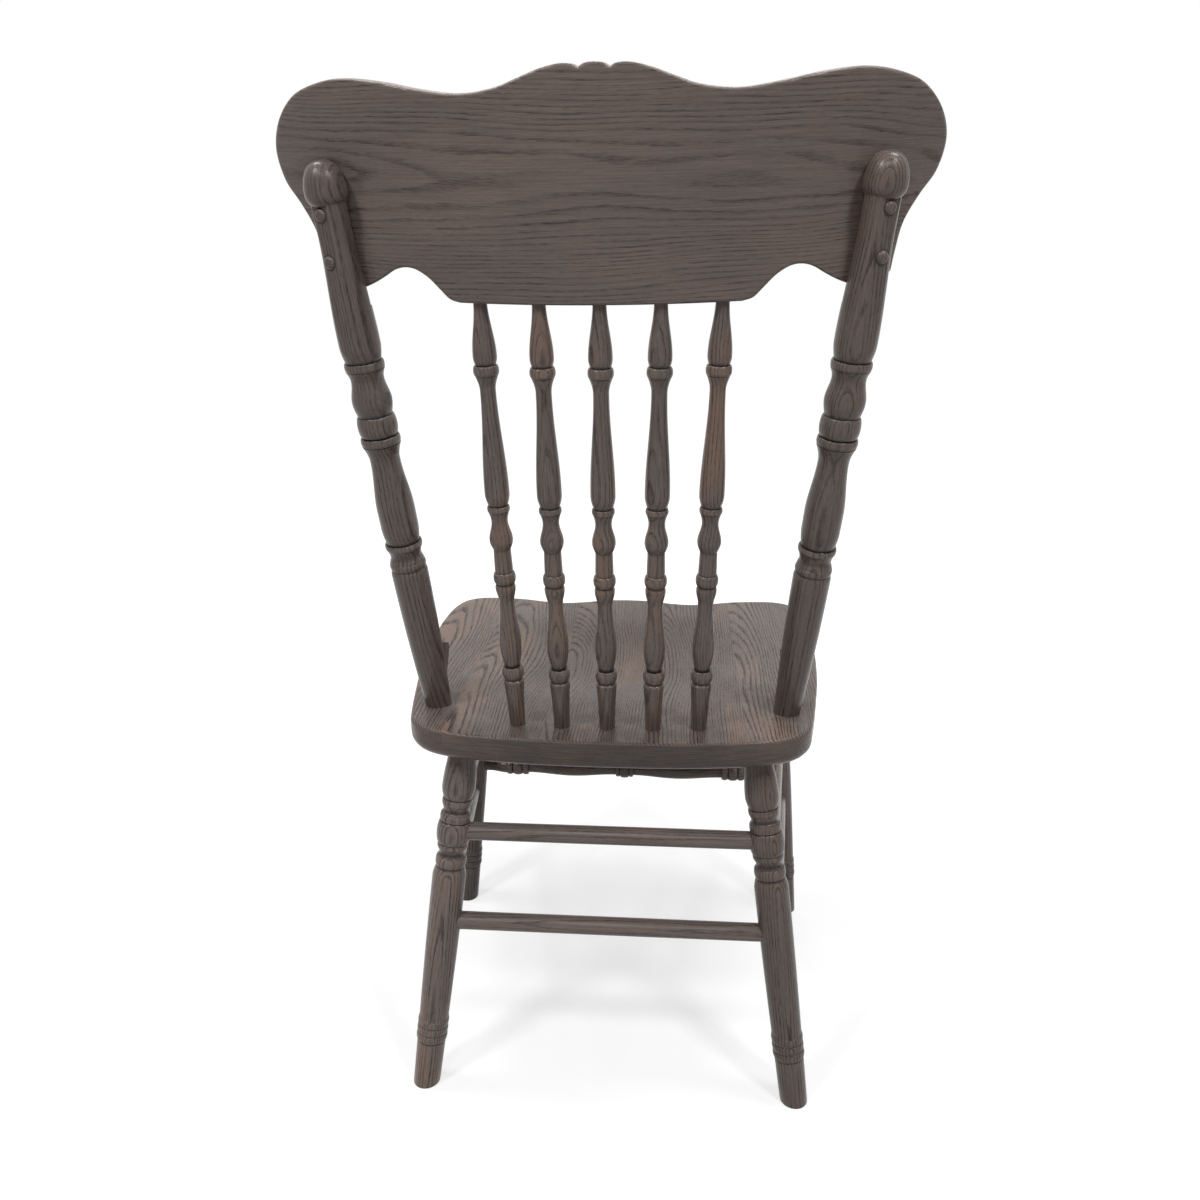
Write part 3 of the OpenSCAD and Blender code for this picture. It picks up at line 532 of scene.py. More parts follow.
class Finish:
    """The nodes of one material, or of the world, under construction."""

    def __init__(self, owner):
        self.owner = owner
        owner.use_nodes = True
        self.tree = owner.node_tree
        self.tree.nodes.clear()

    def node(self, kind, settings=None, sockets=None):
        made = self.tree.nodes.new(kind)
        for key, value in (settings or {}).items():
            setattr(made, key, value)
        for key, value in (sockets or {}).items():
            value = value.socket if isinstance(value, Shade) else value
            if isinstance(value, bpy.types.NodeSocket):
                self.tree.links.new(value, made.inputs[key])
            else:
                made.inputs[key].default_value = value
        return made

    def number(self, kind, settings=None, sockets=None, output=0):
        return Shade(self, self.node(kind, settings, sockets).outputs[output])

    def vector(self, x, y, z):
        return self.node("ShaderNodeCombineXYZ", None, {0: x, 1: y, 2: z}).outputs[0]

    def parts(self, vector):
        split = self.node("ShaderNodeSeparateXYZ", None, {0: vector})
        return [Shade(self, out) for out in split.outputs]

    def noise(self, x, y, z, detail=1.0):
        """Soft noise, about 0 to 1, at a place given in cells."""
        sockets = {"Vector": self.vector(x, y, z), "Scale": 1.0, "Detail": detail, "Roughness": 0.5}
        return self.number("ShaderNodeTexNoise", {"noise_dimensions": "3D"}, sockets)

    def ease(self, value, low, high):
        """0 below low, 1 above high, and smooth between."""
        settings = {"interpolation_type": "SMOOTHSTEP"}
        return self.number("ShaderNodeMapRange", settings, {"Value": value, "From Min": low, "From Max": high})

    def mix(self, share, first, second, blend="MIX"):
        settings = {"data_type": "RGBA", "blend_type": blend}
        return self.node("ShaderNodeMix", settings, {0: share, 6: first, 7: second}).outputs[2]

    def place_in(self, placement):
        """Object coordinates in millimetres, in the frame that a piece was modelled in."""
        inward = placement.inverted()
        sockets = {
            "Vector": self.node("ShaderNodeTexCoord").outputs["Object"],
            "Location": inward.to_translation() / MM,
            "Rotation": inward.to_euler(),
            "Scale": (1 / MM,) * 3,
        }
        return self.parts(self.node("ShaderNodeMapping", {"vector_type": "POINT"}, sockets).outputs[0])

    def seen(self):
        """1 where a ray from the camera looks, also by a mirror or through glass, and 0 where light falls."""
        rays = self.node("ShaderNodeLightPath").outputs
        either = Shade(self, rays["Is Camera Ray"]).math("MAXIMUM", rays["Is Glossy Ray"])
        return either.math("MAXIMUM", rays["Is Transmission Ray"])

    def done(self, sockets):
        shader = self.node("ShaderNodeBsdfPrincipled", None, sockets)
        self.node("ShaderNodeOutputMaterial", None, {"Surface": shader.outputs[0]})
        return self.owner


def new_finish(name):
    return Finish(bpy.data.materials.new(name))


def linear(red, green, blue):
    """A colour written as 0 to 255 on screen, as the shader takes it."""
    def channel(value):
        share = value / 255
        return share / 12.92 if share <= 0.04045 else ((share + 0.055) / 1.055) ** 2.4
    return (channel(red), channel(green), channel(blue), 1.0)


LATEWOOD = linear(97, 87, 82)
LATEWOOD_PALE = linear(112, 101, 95)
EARLYWOOD = linear(72, 63, 60)
PORE = linear(42, 36, 35)
WARM = linear(122, 99, 85)
END_GRAIN = linear(73, 68, 65)
# Colour of the painted shade in creases and round studs
PAINTED_CREASE_SHADE = linear(28, 24, 23)
# Paler colour of worn edges and of the painted highlight on ridges and beads
WORN_EDGE_AND_HIGHLIGHT = linear(152, 139, 131)


# Cells of the oak's figure: their size in millimetres across the grain and along it
SLOW_BEND, RIPPLE, JAG = (60, 240), (14, 110), (1.2, 22)
RING_STRENGTH, VESSELS, PRICKS = (10, 60), (0.62, 10), (0.55, 9)
FIBRE, CLOUD = (1.3, 60), (45, 150)
STREAK_LENGTH, STREAK_WIDTH = 26, 1.2
UNEVEN_RUN, UNEVEN_LENGTH = 17, 900
# How far apart two seeds lie in these cells, in millimetres
SEED_ACROSS, SEED_DEEP, SEED_ALONG = 31.7, 17.3, 413.0
# How far the ripple moves a ring in millimetres, and the unevenness and the jags as shares of a ring
RIPPLE_REACH, UNEVEN_SHARE, JAG_SHARE = 1.8, 3.0, 0.3
# Where in a ring its early wood starts and fades, and how much of it the faintest ring has
EARLY_START, EARLY_FADE, FAINTEST_RING = (0.0, 0.08), (0.12, 0.5), 0.3
# The noise between which each shows
STRENGTH_EDGE, VESSEL_EDGE, PRICK_EDGE = (0.3, 0.66), (0.47, 0.62), (0.54, 0.66)
CLOUD_EDGE, FIBRE_EDGE = (0.42, 0.7), (0.3, 0.7)


def oak_figure(finish, across, depth, along, seed, pith, tilt, ring, sway, shift=0.0):
    """Growth rings round the pith, and the pores and fibres in them: the share of each over the surface."""
    a, b, c = across + SEED_ACROSS * seed, depth + SEED_DEEP * seed, along + SEED_ALONG * seed

    def cells(size, detail=1.0):
        return finish.noise(a / size[0], b / size[0], c / size[1], detail)

    out = across - pith[0] - along * tilt[0] - shift
    deep = depth - pith[1] - along * tilt[1]
    radius = (out * out + deep * deep).math("SQRT")
    radius = radius + (cells(SLOW_BEND) - 0.5) * sway + (cells(RIPPLE) - 0.5) * RIPPLE_REACH
    uneven = finish.noise(radius / UNEVEN_RUN, c / UNEVEN_LENGTH, 3.0 * seed, 0.0) - 0.5
    growth = (radius / ring + uneven * UNEVEN_SHARE + (cells(JAG) - 0.5) * JAG_SHARE).math("FRACT")
    strength = finish.ease(cells(RING_STRENGTH), *STRENGTH_EDGE) * (1 - FAINTEST_RING)
    early = finish.ease(growth, *EARLY_START) * (1 - finish.ease(growth, *EARLY_FADE)) * (FAINTEST_RING + strength)
    return {
        "early": early,
        "pores": finish.ease(cells(VESSELS), *VESSEL_EDGE) * (early * 0.9 + 0.08),
        "pricks": finish.ease(cells(PRICKS), *PRICK_EDGE) * (0.35 + early * 0.5),
        "fibre": cells(FIBRE, 2.0),
        "cloud": cells(CLOUD, 2.0),
        "streak": finish.noise(a / STREAK_LENGTH, b / STREAK_WIDTH, c / STREAK_LENGTH),
    }


# Shares of the painted shade in creases and of the wear with its painted highlight on ridges, and where each starts
# and is full: the facing of end grain, the bend of the surface (0.5 is flat) and its relief in millimetres
END_FACING = (0.7, 0.98)
HOLLOW_BEND, HOLLOW_RELIEF = (0.4, 0.49), (-1.0, -0.2)
RIDGE_BEND, RIDGE_RELIEF = (0.53, 0.62), (0.35, 1.2)
CREASE_SHADE_SHARE, WEAR_AND_HIGHLIGHT_SHARE, TURNED_WEAR_AND_HIGHLIGHT = 0.8, 0.32, 0.7
PALE_SHARE, PORE_EXTRA, END_SHARE, STREAK_SHARE = 0.75, 0.1, 0.35, 0.5
# The tone between two clouds and what a cloud adds, and the bump of the pores and their depth in millimetres
BASE_TONE, CLOUD_TONE = 0.86, 0.28
PORE_BUMP, PORE_DEPTH = 0.3, 0.2
LACQUER, HOLLOW_ROUGH, FIBRE_ROUGH = 0.24, 0.2, 0.06


def oak_finish(finish, axis, figure, warmth, tone, line, gloss, end_figure=1.0, stud_shadows=()):
    """Grey-brown stain and satin lacquer over a figure of oak, with painted shade in its creases and round studs,
    and wear with a painted highlight on its ridges.
    """
    early, pores, pricks = (figure[name] for name in ("early", "pores", "pricks"))
    normal = finish.node("ShaderNodeTexCoord").outputs["Normal"]
    facing = finish.number("ShaderNodeVectorMath", {"operation": "DOT_PRODUCT"}, {0: normal, 1: axis}, "Value")
    end = finish.ease(facing.math("ABSOLUTE"), *END_FACING)
    long_grain = 1 - end * (1 - end_figure)
    ground = finish.mix(finish.ease(figure["fibre"], *FIBRE_EDGE) * PALE_SHARE, LATEWOOD, LATEWOOD_PALE)
    ground = finish.mix(finish.ease(figure["cloud"], *CLOUD_EDGE) * warmth, ground, WARM)
    for mark, share, colour in ((early, line, EARLYWOOD), (pores, line + PORE_EXTRA, PORE), (pricks, line, PORE)):
        ground = finish.mix(mark * long_grain * share, ground, colour)
    streak = finish.ease(figure["streak"], *FIBRE_EDGE) * STREAK_SHARE
    ground = finish.mix(end * (END_SHARE + streak), ground, END_GRAIN)
    bend = finish.number("ShaderNodeNewGeometry", None, None, "Pointiness")
    relief = finish.number("ShaderNodeAttribute", {"attribute_name": "relief"}, None, "Fac")
    # Painted shade: creases and hollows, found by the bend of the surface and by a turning's relief
    crease_shade = (1 - finish.ease(bend, *HOLLOW_BEND)).math("MAXIMUM", 1 - finish.ease(relief, *HOLLOW_RELIEF))
    # Wear and a painted highlight: ridges and bead tops, found by the same two
    ridge = finish.ease(bend, *RIDGE_BEND).math("MAXIMUM", finish.ease(relief, *RIDGE_RELIEF) * TURNED_WEAR_AND_HIGHLIGHT)
    # The painted shadows round the studs join the painted crease shade
    for stud_shadow in stud_shadows:
        crease_shade = crease_shade.math("MAXIMUM", stud_shadow)
    # Painted shade mixed in over creases, hollows and round the studs
    ground = finish.mix(crease_shade * CREASE_SHADE_SHARE, ground, PAINTED_CREASE_SHADE)
    # Wear and a painted highlight mixed in over ridges and beads
    ground = finish.mix(ridge * WEAR_AND_HIGHLIGHT_SHARE, ground, WORN_EDGE_AND_HIGHLIGHT)
    level = (BASE_TONE + figure["cloud"] * CLOUD_TONE) * tone
    ground = finish.mix(1.0, ground, finish.vector(level, level, level), "MULTIPLY")
    hollow = pores * 0.6 + pricks * 0.3 + early * 0.2
    sockets = {"Strength": PORE_BUMP, "Distance": PORE_DEPTH * MM, "Height": 1 - hollow}
    return finish.done({
        "Base Color": ground,
        "Roughness": LACQUER + hollow * HOLLOW_ROUGH + figure["fibre"] * FIBRE_ROUGH,
        "Specular IOR Level": gloss,
        "Normal": finish.node("ShaderNodeBump", None, sockets).outputs[0],
    })


TURNED_SWAY, TURNED_GLOSS = 9, 0.24
# Painted shadow round each stud: full up to the first distance from its middle, gone at the second, in millimetres
STUD_SHADOW_REACH = (PLUG_HEAD * 0.5, PLUG_HEAD * 0.68)


def turned_oak(name, placement, seed, pith, tilt, ring, warmth, tone=1.0, line=0.75, studs=()):
    """Oak of a turned piece, with its grain along its axis and a painted shadow round the studs set into it."""
    finish = new_finish(name + "_oak")
    figure = oak_figure(finish, *finish.place_in(placement), seed, pith, tilt, ring, TURNED_SWAY)
    stud_shadows = []
    # A painted shadow round each stud
    for stud in studs:
        sockets = {0: finish.node("ShaderNodeTexCoord").outputs["Object"], 1: stud * MM}
        away = finish.number("ShaderNodeVectorMath", {"operation": "DISTANCE"}, sockets, "Value")
        stud_shadows.append(1 - finish.ease(away / MM, *STUD_SHADOW_REACH))
    axis = placement.to_3x3() @ Vector((0, 0, 1))
    return oak_finish(finish, axis, figure, warmth, tone, line, TURNED_GLOSS, stud_shadows=stud_shadows)


BOARD_WIDTH, BOARD_EDGE, BOARD_MIDDLE = 104, 0.37, 0.13
# How far the boards' cuts lie apart, in millimetres: their piths across, the cuts' depths and their lengths
PITH_APART, CUT_APART, LENGTH_APART = 62, 37, 290
# The seat's tone at its middle, darker there as painted shade of the hollow, what the lighter sides add, and where
# they start and are full
SHADED_MIDDLE_TONE, LIT_SIDE_TONE, LIT_SIDE_EDGE = 0.87, 0.27, (60, 180)


def seat_oak():
    """Oak of the glued-up seat, with its grain from back to front and each board cut from another place."""
    finish = new_finish("seat_oak_satin")
    x, y, z = finish.place_in(seat_frame)
    board = (x / BOARD_WIDTH + BOARD_EDGE).math("FLOOR")
    chance = (board * 12.9 + 2.1).math("SINE")
    middle = (board + BOARD_MIDDLE) * BOARD_WIDTH + chance * PITH_APART
    figure = oak_figure(
        finish, x, z + chance * CUT_APART, y + chance * LENGTH_APART,
        seed=5, pith=(0, -46), tilt=(0.06, 0.05), ring=2.4, sway=14, shift=middle,
    )
    figure["cloud"] = figure["cloud"] * 0.9 + x * 0.0004 + 0.04
    # Painted shade: the middle of the seat darker than its sides
    tone = SHADED_MIDDLE_TONE + finish.ease(x.math("ABSOLUTE"), *LIT_SIDE_EDGE) * LIT_SIDE_TONE
    along = Vector((0, 1, 0))
    return oak_finish(finish, along, figure, warmth=0.7, tone=tone, line=1.3, gloss=0.13, end_figure=0.15)


def crest_oak():
    """Oak of the bent crest rail, with its grain along the bend."""
    finish = new_finish("crest_oak_satin")
    x, y, z = finish.place_in(crest_frame)
    reach = y + CREST_BEND
    radius = (x * x + reach * reach).math("SQRT")
    along = x.math("ARCTAN2", reach) * CREST_BEND
    figure = oak_figure(
        finish, z, radius - CREST_BEND, along, seed=8, pith=(98, -58), tilt=(0.004, 0.012), ring=2.8, sway=15
    )
    return oak_finish(finish, Vector((1, 0, 0)), figure, warmth=0.15, tone=1.12, line=0.6, gloss=0.22)


def brushed_steel():
    finish = new_finish("screw_steel_brushed")
    x, y, z = finish.place_in(Matrix.Identity(4))
    grain = finish.noise(x * 4, y * 4, z * 0.4, 2.0)
    tint = finish.mix(grain, (0.5, 0.5, 0.51, 1), (0.62, 0.62, 0.63, 1))
    return finish.done({"Base Color": tint, "Metallic": 1.0, "Roughness": 0.25 + grain * 0.2})


# Seat: the right half of its outline, from the middle of the back to the middle of the front
half_seat = SEAT_WIDTH / 2
SEAT_SIDE = [(88, 12), (56, 24), (38, 43), (31, 68), (22, 117), (12.5, 177), (5, 247), (0, 320)]
SEAT_HALF = (
    [(0, SEAT_DEPTH), (60, SEAT_DEPTH - 1), (112, SEAT_DEPTH - 5)]
    + [(half_seat - inset, SEAT_DEPTH - from_back) for inset, from_back in SEAT_SIDE]
    + [(half_seat + 0.5, 92), (half_seat - 3, 46), (half_seat - 14, 15), (half_seat - 36, 1), (half_seat - 66, 0)]
    + [(148, FRONT_BAY * 0.22), (118, FRONT_BAY * 0.72), (90, FRONT_BAY)]
    + [(60, FRONT_BAY * 0.72), (30, FRONT_BAY * 0.2), (0, 1)]
)
SEAT_CENTRE = np.array((0, 235))
HOLLOW_MIDDLE = (0, 218)
HOLLOW_REACH = (half_seat - 38, 168)
HOLLOW_STEEPNESS = 1.35
RIDGE_SPREAD, RIDGE_RUN, RIDGE_SHARE = 2500, 150, 0.55
# Steps from the middle of the underside to its edge, round the two edges, and over the top to its middle
UNDER_STEPS, LOWER_STEPS, UPPER_STEPS, TOP_STEPS = 6, 8, 7, 32


def smooth(t):
    t = np.clip(t, 0, 1)
    return t * t * (3 - 2 * t)


def hollow(x, y):
    """Depth of the seat's hollow, with its low ridge at the front."""
    away = np.hypot((x - HOLLOW_MIDDLE[0]) / HOLLOW_REACH[0], (y - HOLLOW_MIDDLE[1]) / HOLLOW_REACH[1])
    ridge = np.exp(-x * x / RIDGE_SPREAD) * smooth((HOLLOW_MIDDLE[1] - y) / RIDGE_RUN)
    return SEAT_HOLLOW * smooth(HOLLOW_STEEPNESS * (1 - away)) * (1 - RIDGE_SHARE * ridge)


def seat_piece():
    half = np.array(curve(SEAT_HALF, 8))
    ring = np.vstack([half, (half * (-1, 1))[-2::-1]])
    before, after = np.roll(ring[:-1], 1, 0), np.roll(ring[:-1], -1, 0)
    run = (after - before) / np.linalg.norm(after - before, axis=1)[:, None]
    inward = np.column_stack([run[:, 1], -run[:, 0]])
    inward = np.vstack([inward, inward[:1]])

    def edge(inset):
        return ring + inset * inward

    def row(flat, height):
        return np.column_stack([flat, np.broadcast_to(height, len(flat))])

    rows = []
    for k in range(UNDER_STEPS + 1):
        flat = SEAT_CENTRE + (edge(SEAT_BOTTOM_ROUND) - SEAT_CENTRE) * k / UNDER_STEPS
        rows.append(row(flat, -SEAT_THICKNESS))
    for k in range(1, LOWER_STEPS + 1):
        angle = math.pi / 2 * k / LOWER_STEPS
        flat = edge(SEAT_BOTTOM_ROUND * (1 - math.sin(angle)))
        rows.append(row(flat, -SEAT_THICKNESS + SEAT_BOTTOM_ROUND * (1 - math.cos(angle))))
    for k in range(UPPER_STEPS + 1):
        angle = math.pi / 2 * k / UPPER_STEPS
        rows.append(row(edge(SEAT_TOP_ROUND * (1 - math.cos(angle))), -SEAT_TOP_ROUND * (1 - math.sin(angle))))
    for k in range(1, TOP_STEPS + 1):
        flat = SEAT_CENTRE + (edge(SEAT_TOP_ROUND) - SEAT_CENTRE) * (1 - k / TOP_STEPS)
        rows.append(row(flat, -hollow(flat[:, 0], flat[:, 1])))
    rows = [part + (0, front_y - hinge_y, 0) for part in rows]
    piece = place(wrapped_grid("oak_seat", rows), seat_frame)
    finish_piece(piece, "seat", seat_oak())


# Crest rail: the right half of its outline, where an ear's points go by how far they lie in from its end
half_crest = CREST_WIDTH / 2
EAR_POINTS = [(112, 3), (77, 0), (49, 4), (26, 13), (8, 31), (0, 53), (5, 77), (19, 96), (30.5, 116), (35, 138)]
ARCH_POINTS = [
    (37, 15), (48, 7), (60, 4), (74, 7.5), (86, 12.5), (97, 18.5), (107, CREST_ARCH - 2.6), (117, CREST_ARCH),
    (127, CREST_ARCH - 1.3), (138, CREST_ARCH - 7.5), (148, 10), (156, 2.6), (165, 0),
]
CREST_BOTTOM = [(half_crest - inset, height) for inset, height in ARCH_POINTS]
CREST_TOP = [
    (12, CREST_HEIGHT - 3.4), (17, CREST_HEIGHT - 1.2), (27, CREST_HEIGHT - 0.8), (42, CREST_HEIGHT - 4),
    (58, CREST_HEIGHT - 9.5), (80, CREST_VALLEY + 3), (109, CREST_VALLEY), (140, CREST_VALLEY + 3.5),
    *((half_crest - inset, CREST_EAR - drop) for inset, drop in EAR_POINTS), CREST_BOTTOM[0],
]
CREST_MIDDLE = [(0, CREST_HEIGHT), (7, CREST_HEIGHT - 0.8), (12, CREST_HEIGHT - 3.4)]
ARRIS = 2.6
CREST_SPARE = 0.02


def crest_outline():
    """The upper and the lower edge of the crest rail's right half, each from the middle to the ear's end."""
    shoulder = curve(CREST_TOP, 10)
    widest = max(range(len(shoulder)), key=lambda i: shoulder[i][0])
    fit = (half_crest - CREST_SPARE) / shoulder[widest][0]
    shoulder = [point * (fit, 1) for point in shoulder]
    upper = curve(CREST_MIDDLE, 8)[:-1] + shoulder[: widest + 1]
    lower = shoulder[widest:] + curve(CREST_BOTTOM, 10)[1:] + [np.array((0.0, 0.0))]
    return np.array(upper), np.array(lower[::-1])


def distance_to(points, line):
    """Least distance from each point to a polyline."""
    best = np.full(len(points), 1e9)
    for start, end in zip(line, line[1:]):
        run = end - start
        share = np.clip(((points - start) @ run) / max(run @ run, 1e-12), 0, 1)
        best = np.minimum(best, np.linalg.norm(points - start - share[:, None] * run, axis=1))
    return best


SCROLL_POINTS = 70


def scroll(centre, size, start, turns, shrink):
    """A spiral that winds in towards its centre."""
    angles = np.linspace(0, turns * 2 * math.pi, SCROLL_POINTS)
    radius = (size * np.exp(-shrink * angles))[:, None]
    angles = math.radians(start) + angles
    return centre + radius * np.column_stack([np.cos(angles), np.sin(angles)])


# The pressed pattern: its ground inside a border, a fan of petals over the middle, and ribs, each a line and half a
# width, on the right half and again on the left
PANEL_MARGIN, PANEL_SLOPE, PRESS_DEPTH = 13, 2.5, 1.5
BORDER_INSET, BORDER_WIDTH, BORDER_HEIGHT = 7, 2.6, 0.8
FAN_FOOT, FAN_RIM, FAN_SCALLOP, FAN_EYE, PETALS = (0, 62), 46, 5, 12, 6.5
FAN_SPREAD = math.radians(100)
BOSS_WIDTH = 9.5
PEBBLE_HEIGHT, PEBBLE_PITCH = 0.12, 1.1
RIBS = [
    (scroll((104, 92), 33, 200, 1.6, 0.2), 5.0),
    (scroll((166, 104), 25, 20, 1.5, 0.22), 4.4),
    (scroll((214, 112), 17, 190, 1.3, 0.24), 3.6),
    (curve([(58, 112), (76, 128), (104, 132), (134, 126)], 6), 3.4),
    (curve([(62, 52), (84, 46), (112, 52), (136, 70), (146, 88)], 6), 3.6),
    (curve([(140, 128), (160, 140), (186, 144), (212, 138), (230, 128)], 6), 3.2),
    (curve([(176, 72), (194, 66), (212, 72), (226, 86)], 6), 3.2),
]


def pressed(points, edge_distance):
    """Depth of the pressed pattern on the rail's front: a bordered ground with a fan between scrolls."""
    half = np.column_stack([np.abs(points[:, 0]), points[:, 1]])
    ground = smooth((edge_distance - PANEL_MARGIN) / PANEL_SLOPE)
    raised = np.zeros(len(points))

    def rib(distance, width, height=1.0):
        dome = np.sqrt(np.clip(1 - (distance / width) ** 2, 0, 1)) * height
        np.maximum(raised, dome, out=raised)

    rib(np.abs(edge_distance - PANEL_MARGIN - BORDER_INSET), BORDER_WIDTH, BORDER_HEIGHT)
    fan = half - FAN_FOOT
    reach, angle = np.hypot(fan[:, 0], fan[:, 1]), np.arctan2(fan[:, 0], fan[:, 1])
    wave = np.abs(np.cos(angle * PETALS))
    inside = smooth((FAN_RIM + FAN_SCALLOP * wave - reach) / 3) * smooth((reach - FAN_EYE) / 3)
    petals = wave ** 0.6 * (inside * (np.abs(angle) < FAN_SPREAD))
    np.maximum(raised, petals * (0.45 + 0.55 * reach / 50), out=raised)
    rib(reach, BOSS_WIDTH)
    for line, width in RIBS:
        rib(distance_to(half, np.array(line)), width)
    pebble = PEBBLE_HEIGHT * np.sin(points[:, 0] * PEBBLE_PITCH) * np.sin(points[:, 1] * PEBBLE_PITCH)
    return PRESS_DEPTH * ground * (1 - np.clip(raised + pebble, 0, 1))


# The rail's mesh: the pitch of its stations and the least gap between them, finer at the ear's end, the first rows
# in from the edges, and the rows between those on the front and on the back
STATION_PITCH, LEAST_GAP, LEAST_END_GAP, EAR_END = 2.1, 0.45, 0.04, 16
EDGE_ROWS, INNER_ROW = (0, 0.25, 0.8, 1.7, 2.9), 4.4
FRONT_ROWS, BACK_ROWS = 84, 12


def crest_piece():
    upper, lower = crest_outline()
    regular = np.arange(0, half_crest, STATION_PITCH)
    stations = np.unique(np.round(np.concatenate([upper[:, 0], lower[:, 0], regular]), 3))
    kept = [0.0]
    for station in stations[1:]:
        if station - kept[-1] > (LEAST_GAP if station < half_crest - EAR_END else LEAST_END_GAP):
            kept.append(station)
    stations = np.array([-station for station in kept[:0:-1]] + kept)
    top = np.interp(np.abs(stations), upper[:, 0], upper[:, 1])
    bottom = np.interp(np.abs(stations), lower[:, 0], lower[:, 1])
    full = np.vstack([upper, lower[::-1]])
    outline = np.vstack([full, (full * (-1, 1))[::-1]])

    def shares(count):
        """Steps from the lower to the upper edge, closer together near the two."""
        near = np.array(EDGE_ROWS) / CREST_HEIGHT
        inner = np.linspace(INNER_ROW / CREST_HEIGHT, 1 - INNER_ROW / CREST_HEIGHT, count)
        return np.concatenate([near, inner, 1 - near[::-1]])

    def face(count, front):
        rows = []
        for share in shares(count):
            height = bottom + (top - bottom) * share
            points = np.column_stack([stations, height])
            edge = distance_to(points, outline)
            away = np.clip(ARRIS - edge, 0, ARRIS)
            sunk = ARRIS - np.sqrt(ARRIS ** 2 - away ** 2)
            if front:
                sunk = sunk + pressed(points, edge)
                radius = CREST_BEND - CREST_THICKNESS / 2 + sunk
            else:
                radius = CREST_BEND + CREST_THICKNESS / 2 - sunk
            depth = np.sqrt(np.maximum(radius ** 2 - stations ** 2, 0)) - CREST_BEND
            rows.append(np.column_stack([stations, depth, height]))
        return rows

    rows = face(FRONT_ROWS, True) + face(BACK_ROWS, False)[::-1]
    rows.append(rows[0])
    piece = place(wrapped_grid("oak_crest_rail", rows), crest_frame)
    finish_piece(piece, "crest_rail", crest_oak())


# Legs, cut level with the floor and eased at the foot
LEG_LOOKS = {
    (LEFT, False): {"turn": 0.9, "seed": 11, "pith": (22, 20), "warmth": 1.2, "tone": 1.4},
    (RIGHT, False): {"turn": 2.4, "seed": 12, "pith": (15, -14), "warmth": 0.35, "tone": 0.9},
    (LEFT, True): {"turn": 0.2, "seed": 13, "pith": (30, 8), "warmth": 0.4, "tone": 1.1},
    (RIGHT, True): {"turn": 4.0, "seed": 14, "pith": (24, 18), "warmth": 0.4, "tone": 1.1},
}
FOOT_EASE = 1.6


def leg_piece(side, front, blank):
    node = f"leg_{'front' if front else 'rear'}_{'left' if side == LEFT else 'right'}"
    foot, top = leg_foot(side, front), leg_top(side, front)
    looks = dict(LEG_LOOKS[(side, front)])
    placement = stand(toward(foot, top, -FOOT_SPARE), top, looks.pop("turn"))
    piece = place(copy_of(blank, "turned_" + node), placement)
    with editing():
        bpy.ops.mesh.bisect(plane_co=(0, 0, 0), plane_no=(0, 0, 1), use_fill=True, clear_inner=True)
        bpy.ops.mesh.bevel(offset=FOOT_EASE * MM, segments=3, profile=0.5)
    material = turned_oak(node, placement, tilt=(0.02, 0.01), ring=3.2, line=1.05, **looks)
    finish_piece(piece, node, material)


def leg_pieces():
    for front in (True, False):
        blank = turn("leg_blank", profile_points(leg_profile(front)))
        for side in (LEFT, RIGHT):
            leg_piece(side, front, blank)
        bpy.data.objects.remove(blank)


# Stretchers
def stretcher_piece(node, start, end, profile, seed):
    start, end = toward(start, end, STRETCHER_END_GAP), toward(end, start, STRETCHER_END_GAP)
    placement = stand(start, end, 0.7 * seed)
    piece = place(turn("turned_" + node, profile_points(profile((end - start).length))), placement)
    pith = (16 + seed % 4 * 5, 14)
    material = turned_oak(node, placement, seed, pith, tilt=(0.01, 0.012), ring=2.9, warmth=0.4, tone=1.25)
    finish_piece(piece, node, material)


DOWEL_TAPER = 0.12


def dowel_profile(length):
    """A plain dowel, a hair thicker at its middle."""
    radius = STRETCHER_DOWEL / 2
    end = radius - DOWEL_TAPER
    return [("ease", length / 2, end, radius), ("ease", length / 2, radius, end)]


# For each level: its drops under the balls in front and behind, and its seeds. A side stretcher's drop comes first
# for its rear end, and its seeds first for the left.
CROSS_LEVELS = {"upper": (0, 0, 26, 24), "lower": (FRONT_LOW_DROP, REAR_LOW_DROP, 126, 131)}
SIDE_LEVELS = {"upper": (*SIDE_HIGH_DROPS, 56, 54), "lower": (*SIDE_LOW_DROPS, 110, 108)}


def stretcher_pieces():
    for level, (front_drop, rear_drop, front_seed, rear_seed) in CROSS_LEVELS.items():
        front = [leg_point(side, True, front_high - front_drop) for side in (LEFT, RIGHT)]
        rear = [leg_point(side, False, rear_high - rear_drop) for side in (LEFT, RIGHT)]
        stretcher_piece("front_stretcher_" + level, *front, turned_stretcher_profile, front_seed)
        stretcher_piece("rear_stretcher_" + level, *rear, dowel_profile, rear_seed)
    for level, (rear_drop, front_drop, *seeds) in SIDE_LEVELS.items():
        for side, word, seed in zip((LEFT, RIGHT), ("left", "right"), seeds):
            rear = leg_point(side, False, rear_high - rear_drop)
            front = leg_point(side, True, front_high - front_drop)
            stretcher_piece(f"side_stretcher_{level}_{word}", rear, front, dowel_profile, seed)


# Back posts
flat_slope = POST_FLAT_FADE / (post_upper_shaft + POST_NECK_HEIGHT)


def screw_direction(side):
    angle = math.asin(post_x_at_crest / CREST_BEND)
    normal = Vector((
        side * math.sin(angle), math.cos(angle) * math.cos(back_lean), -math.cos(angle) * math.sin(back_lean)
    ))
    axis = (post_top(side) - post_base(side)).normalized()
    across = (normal - axis * normal.dot(axis)).normalized()
    return (across + axis * flat_slope).normalized()


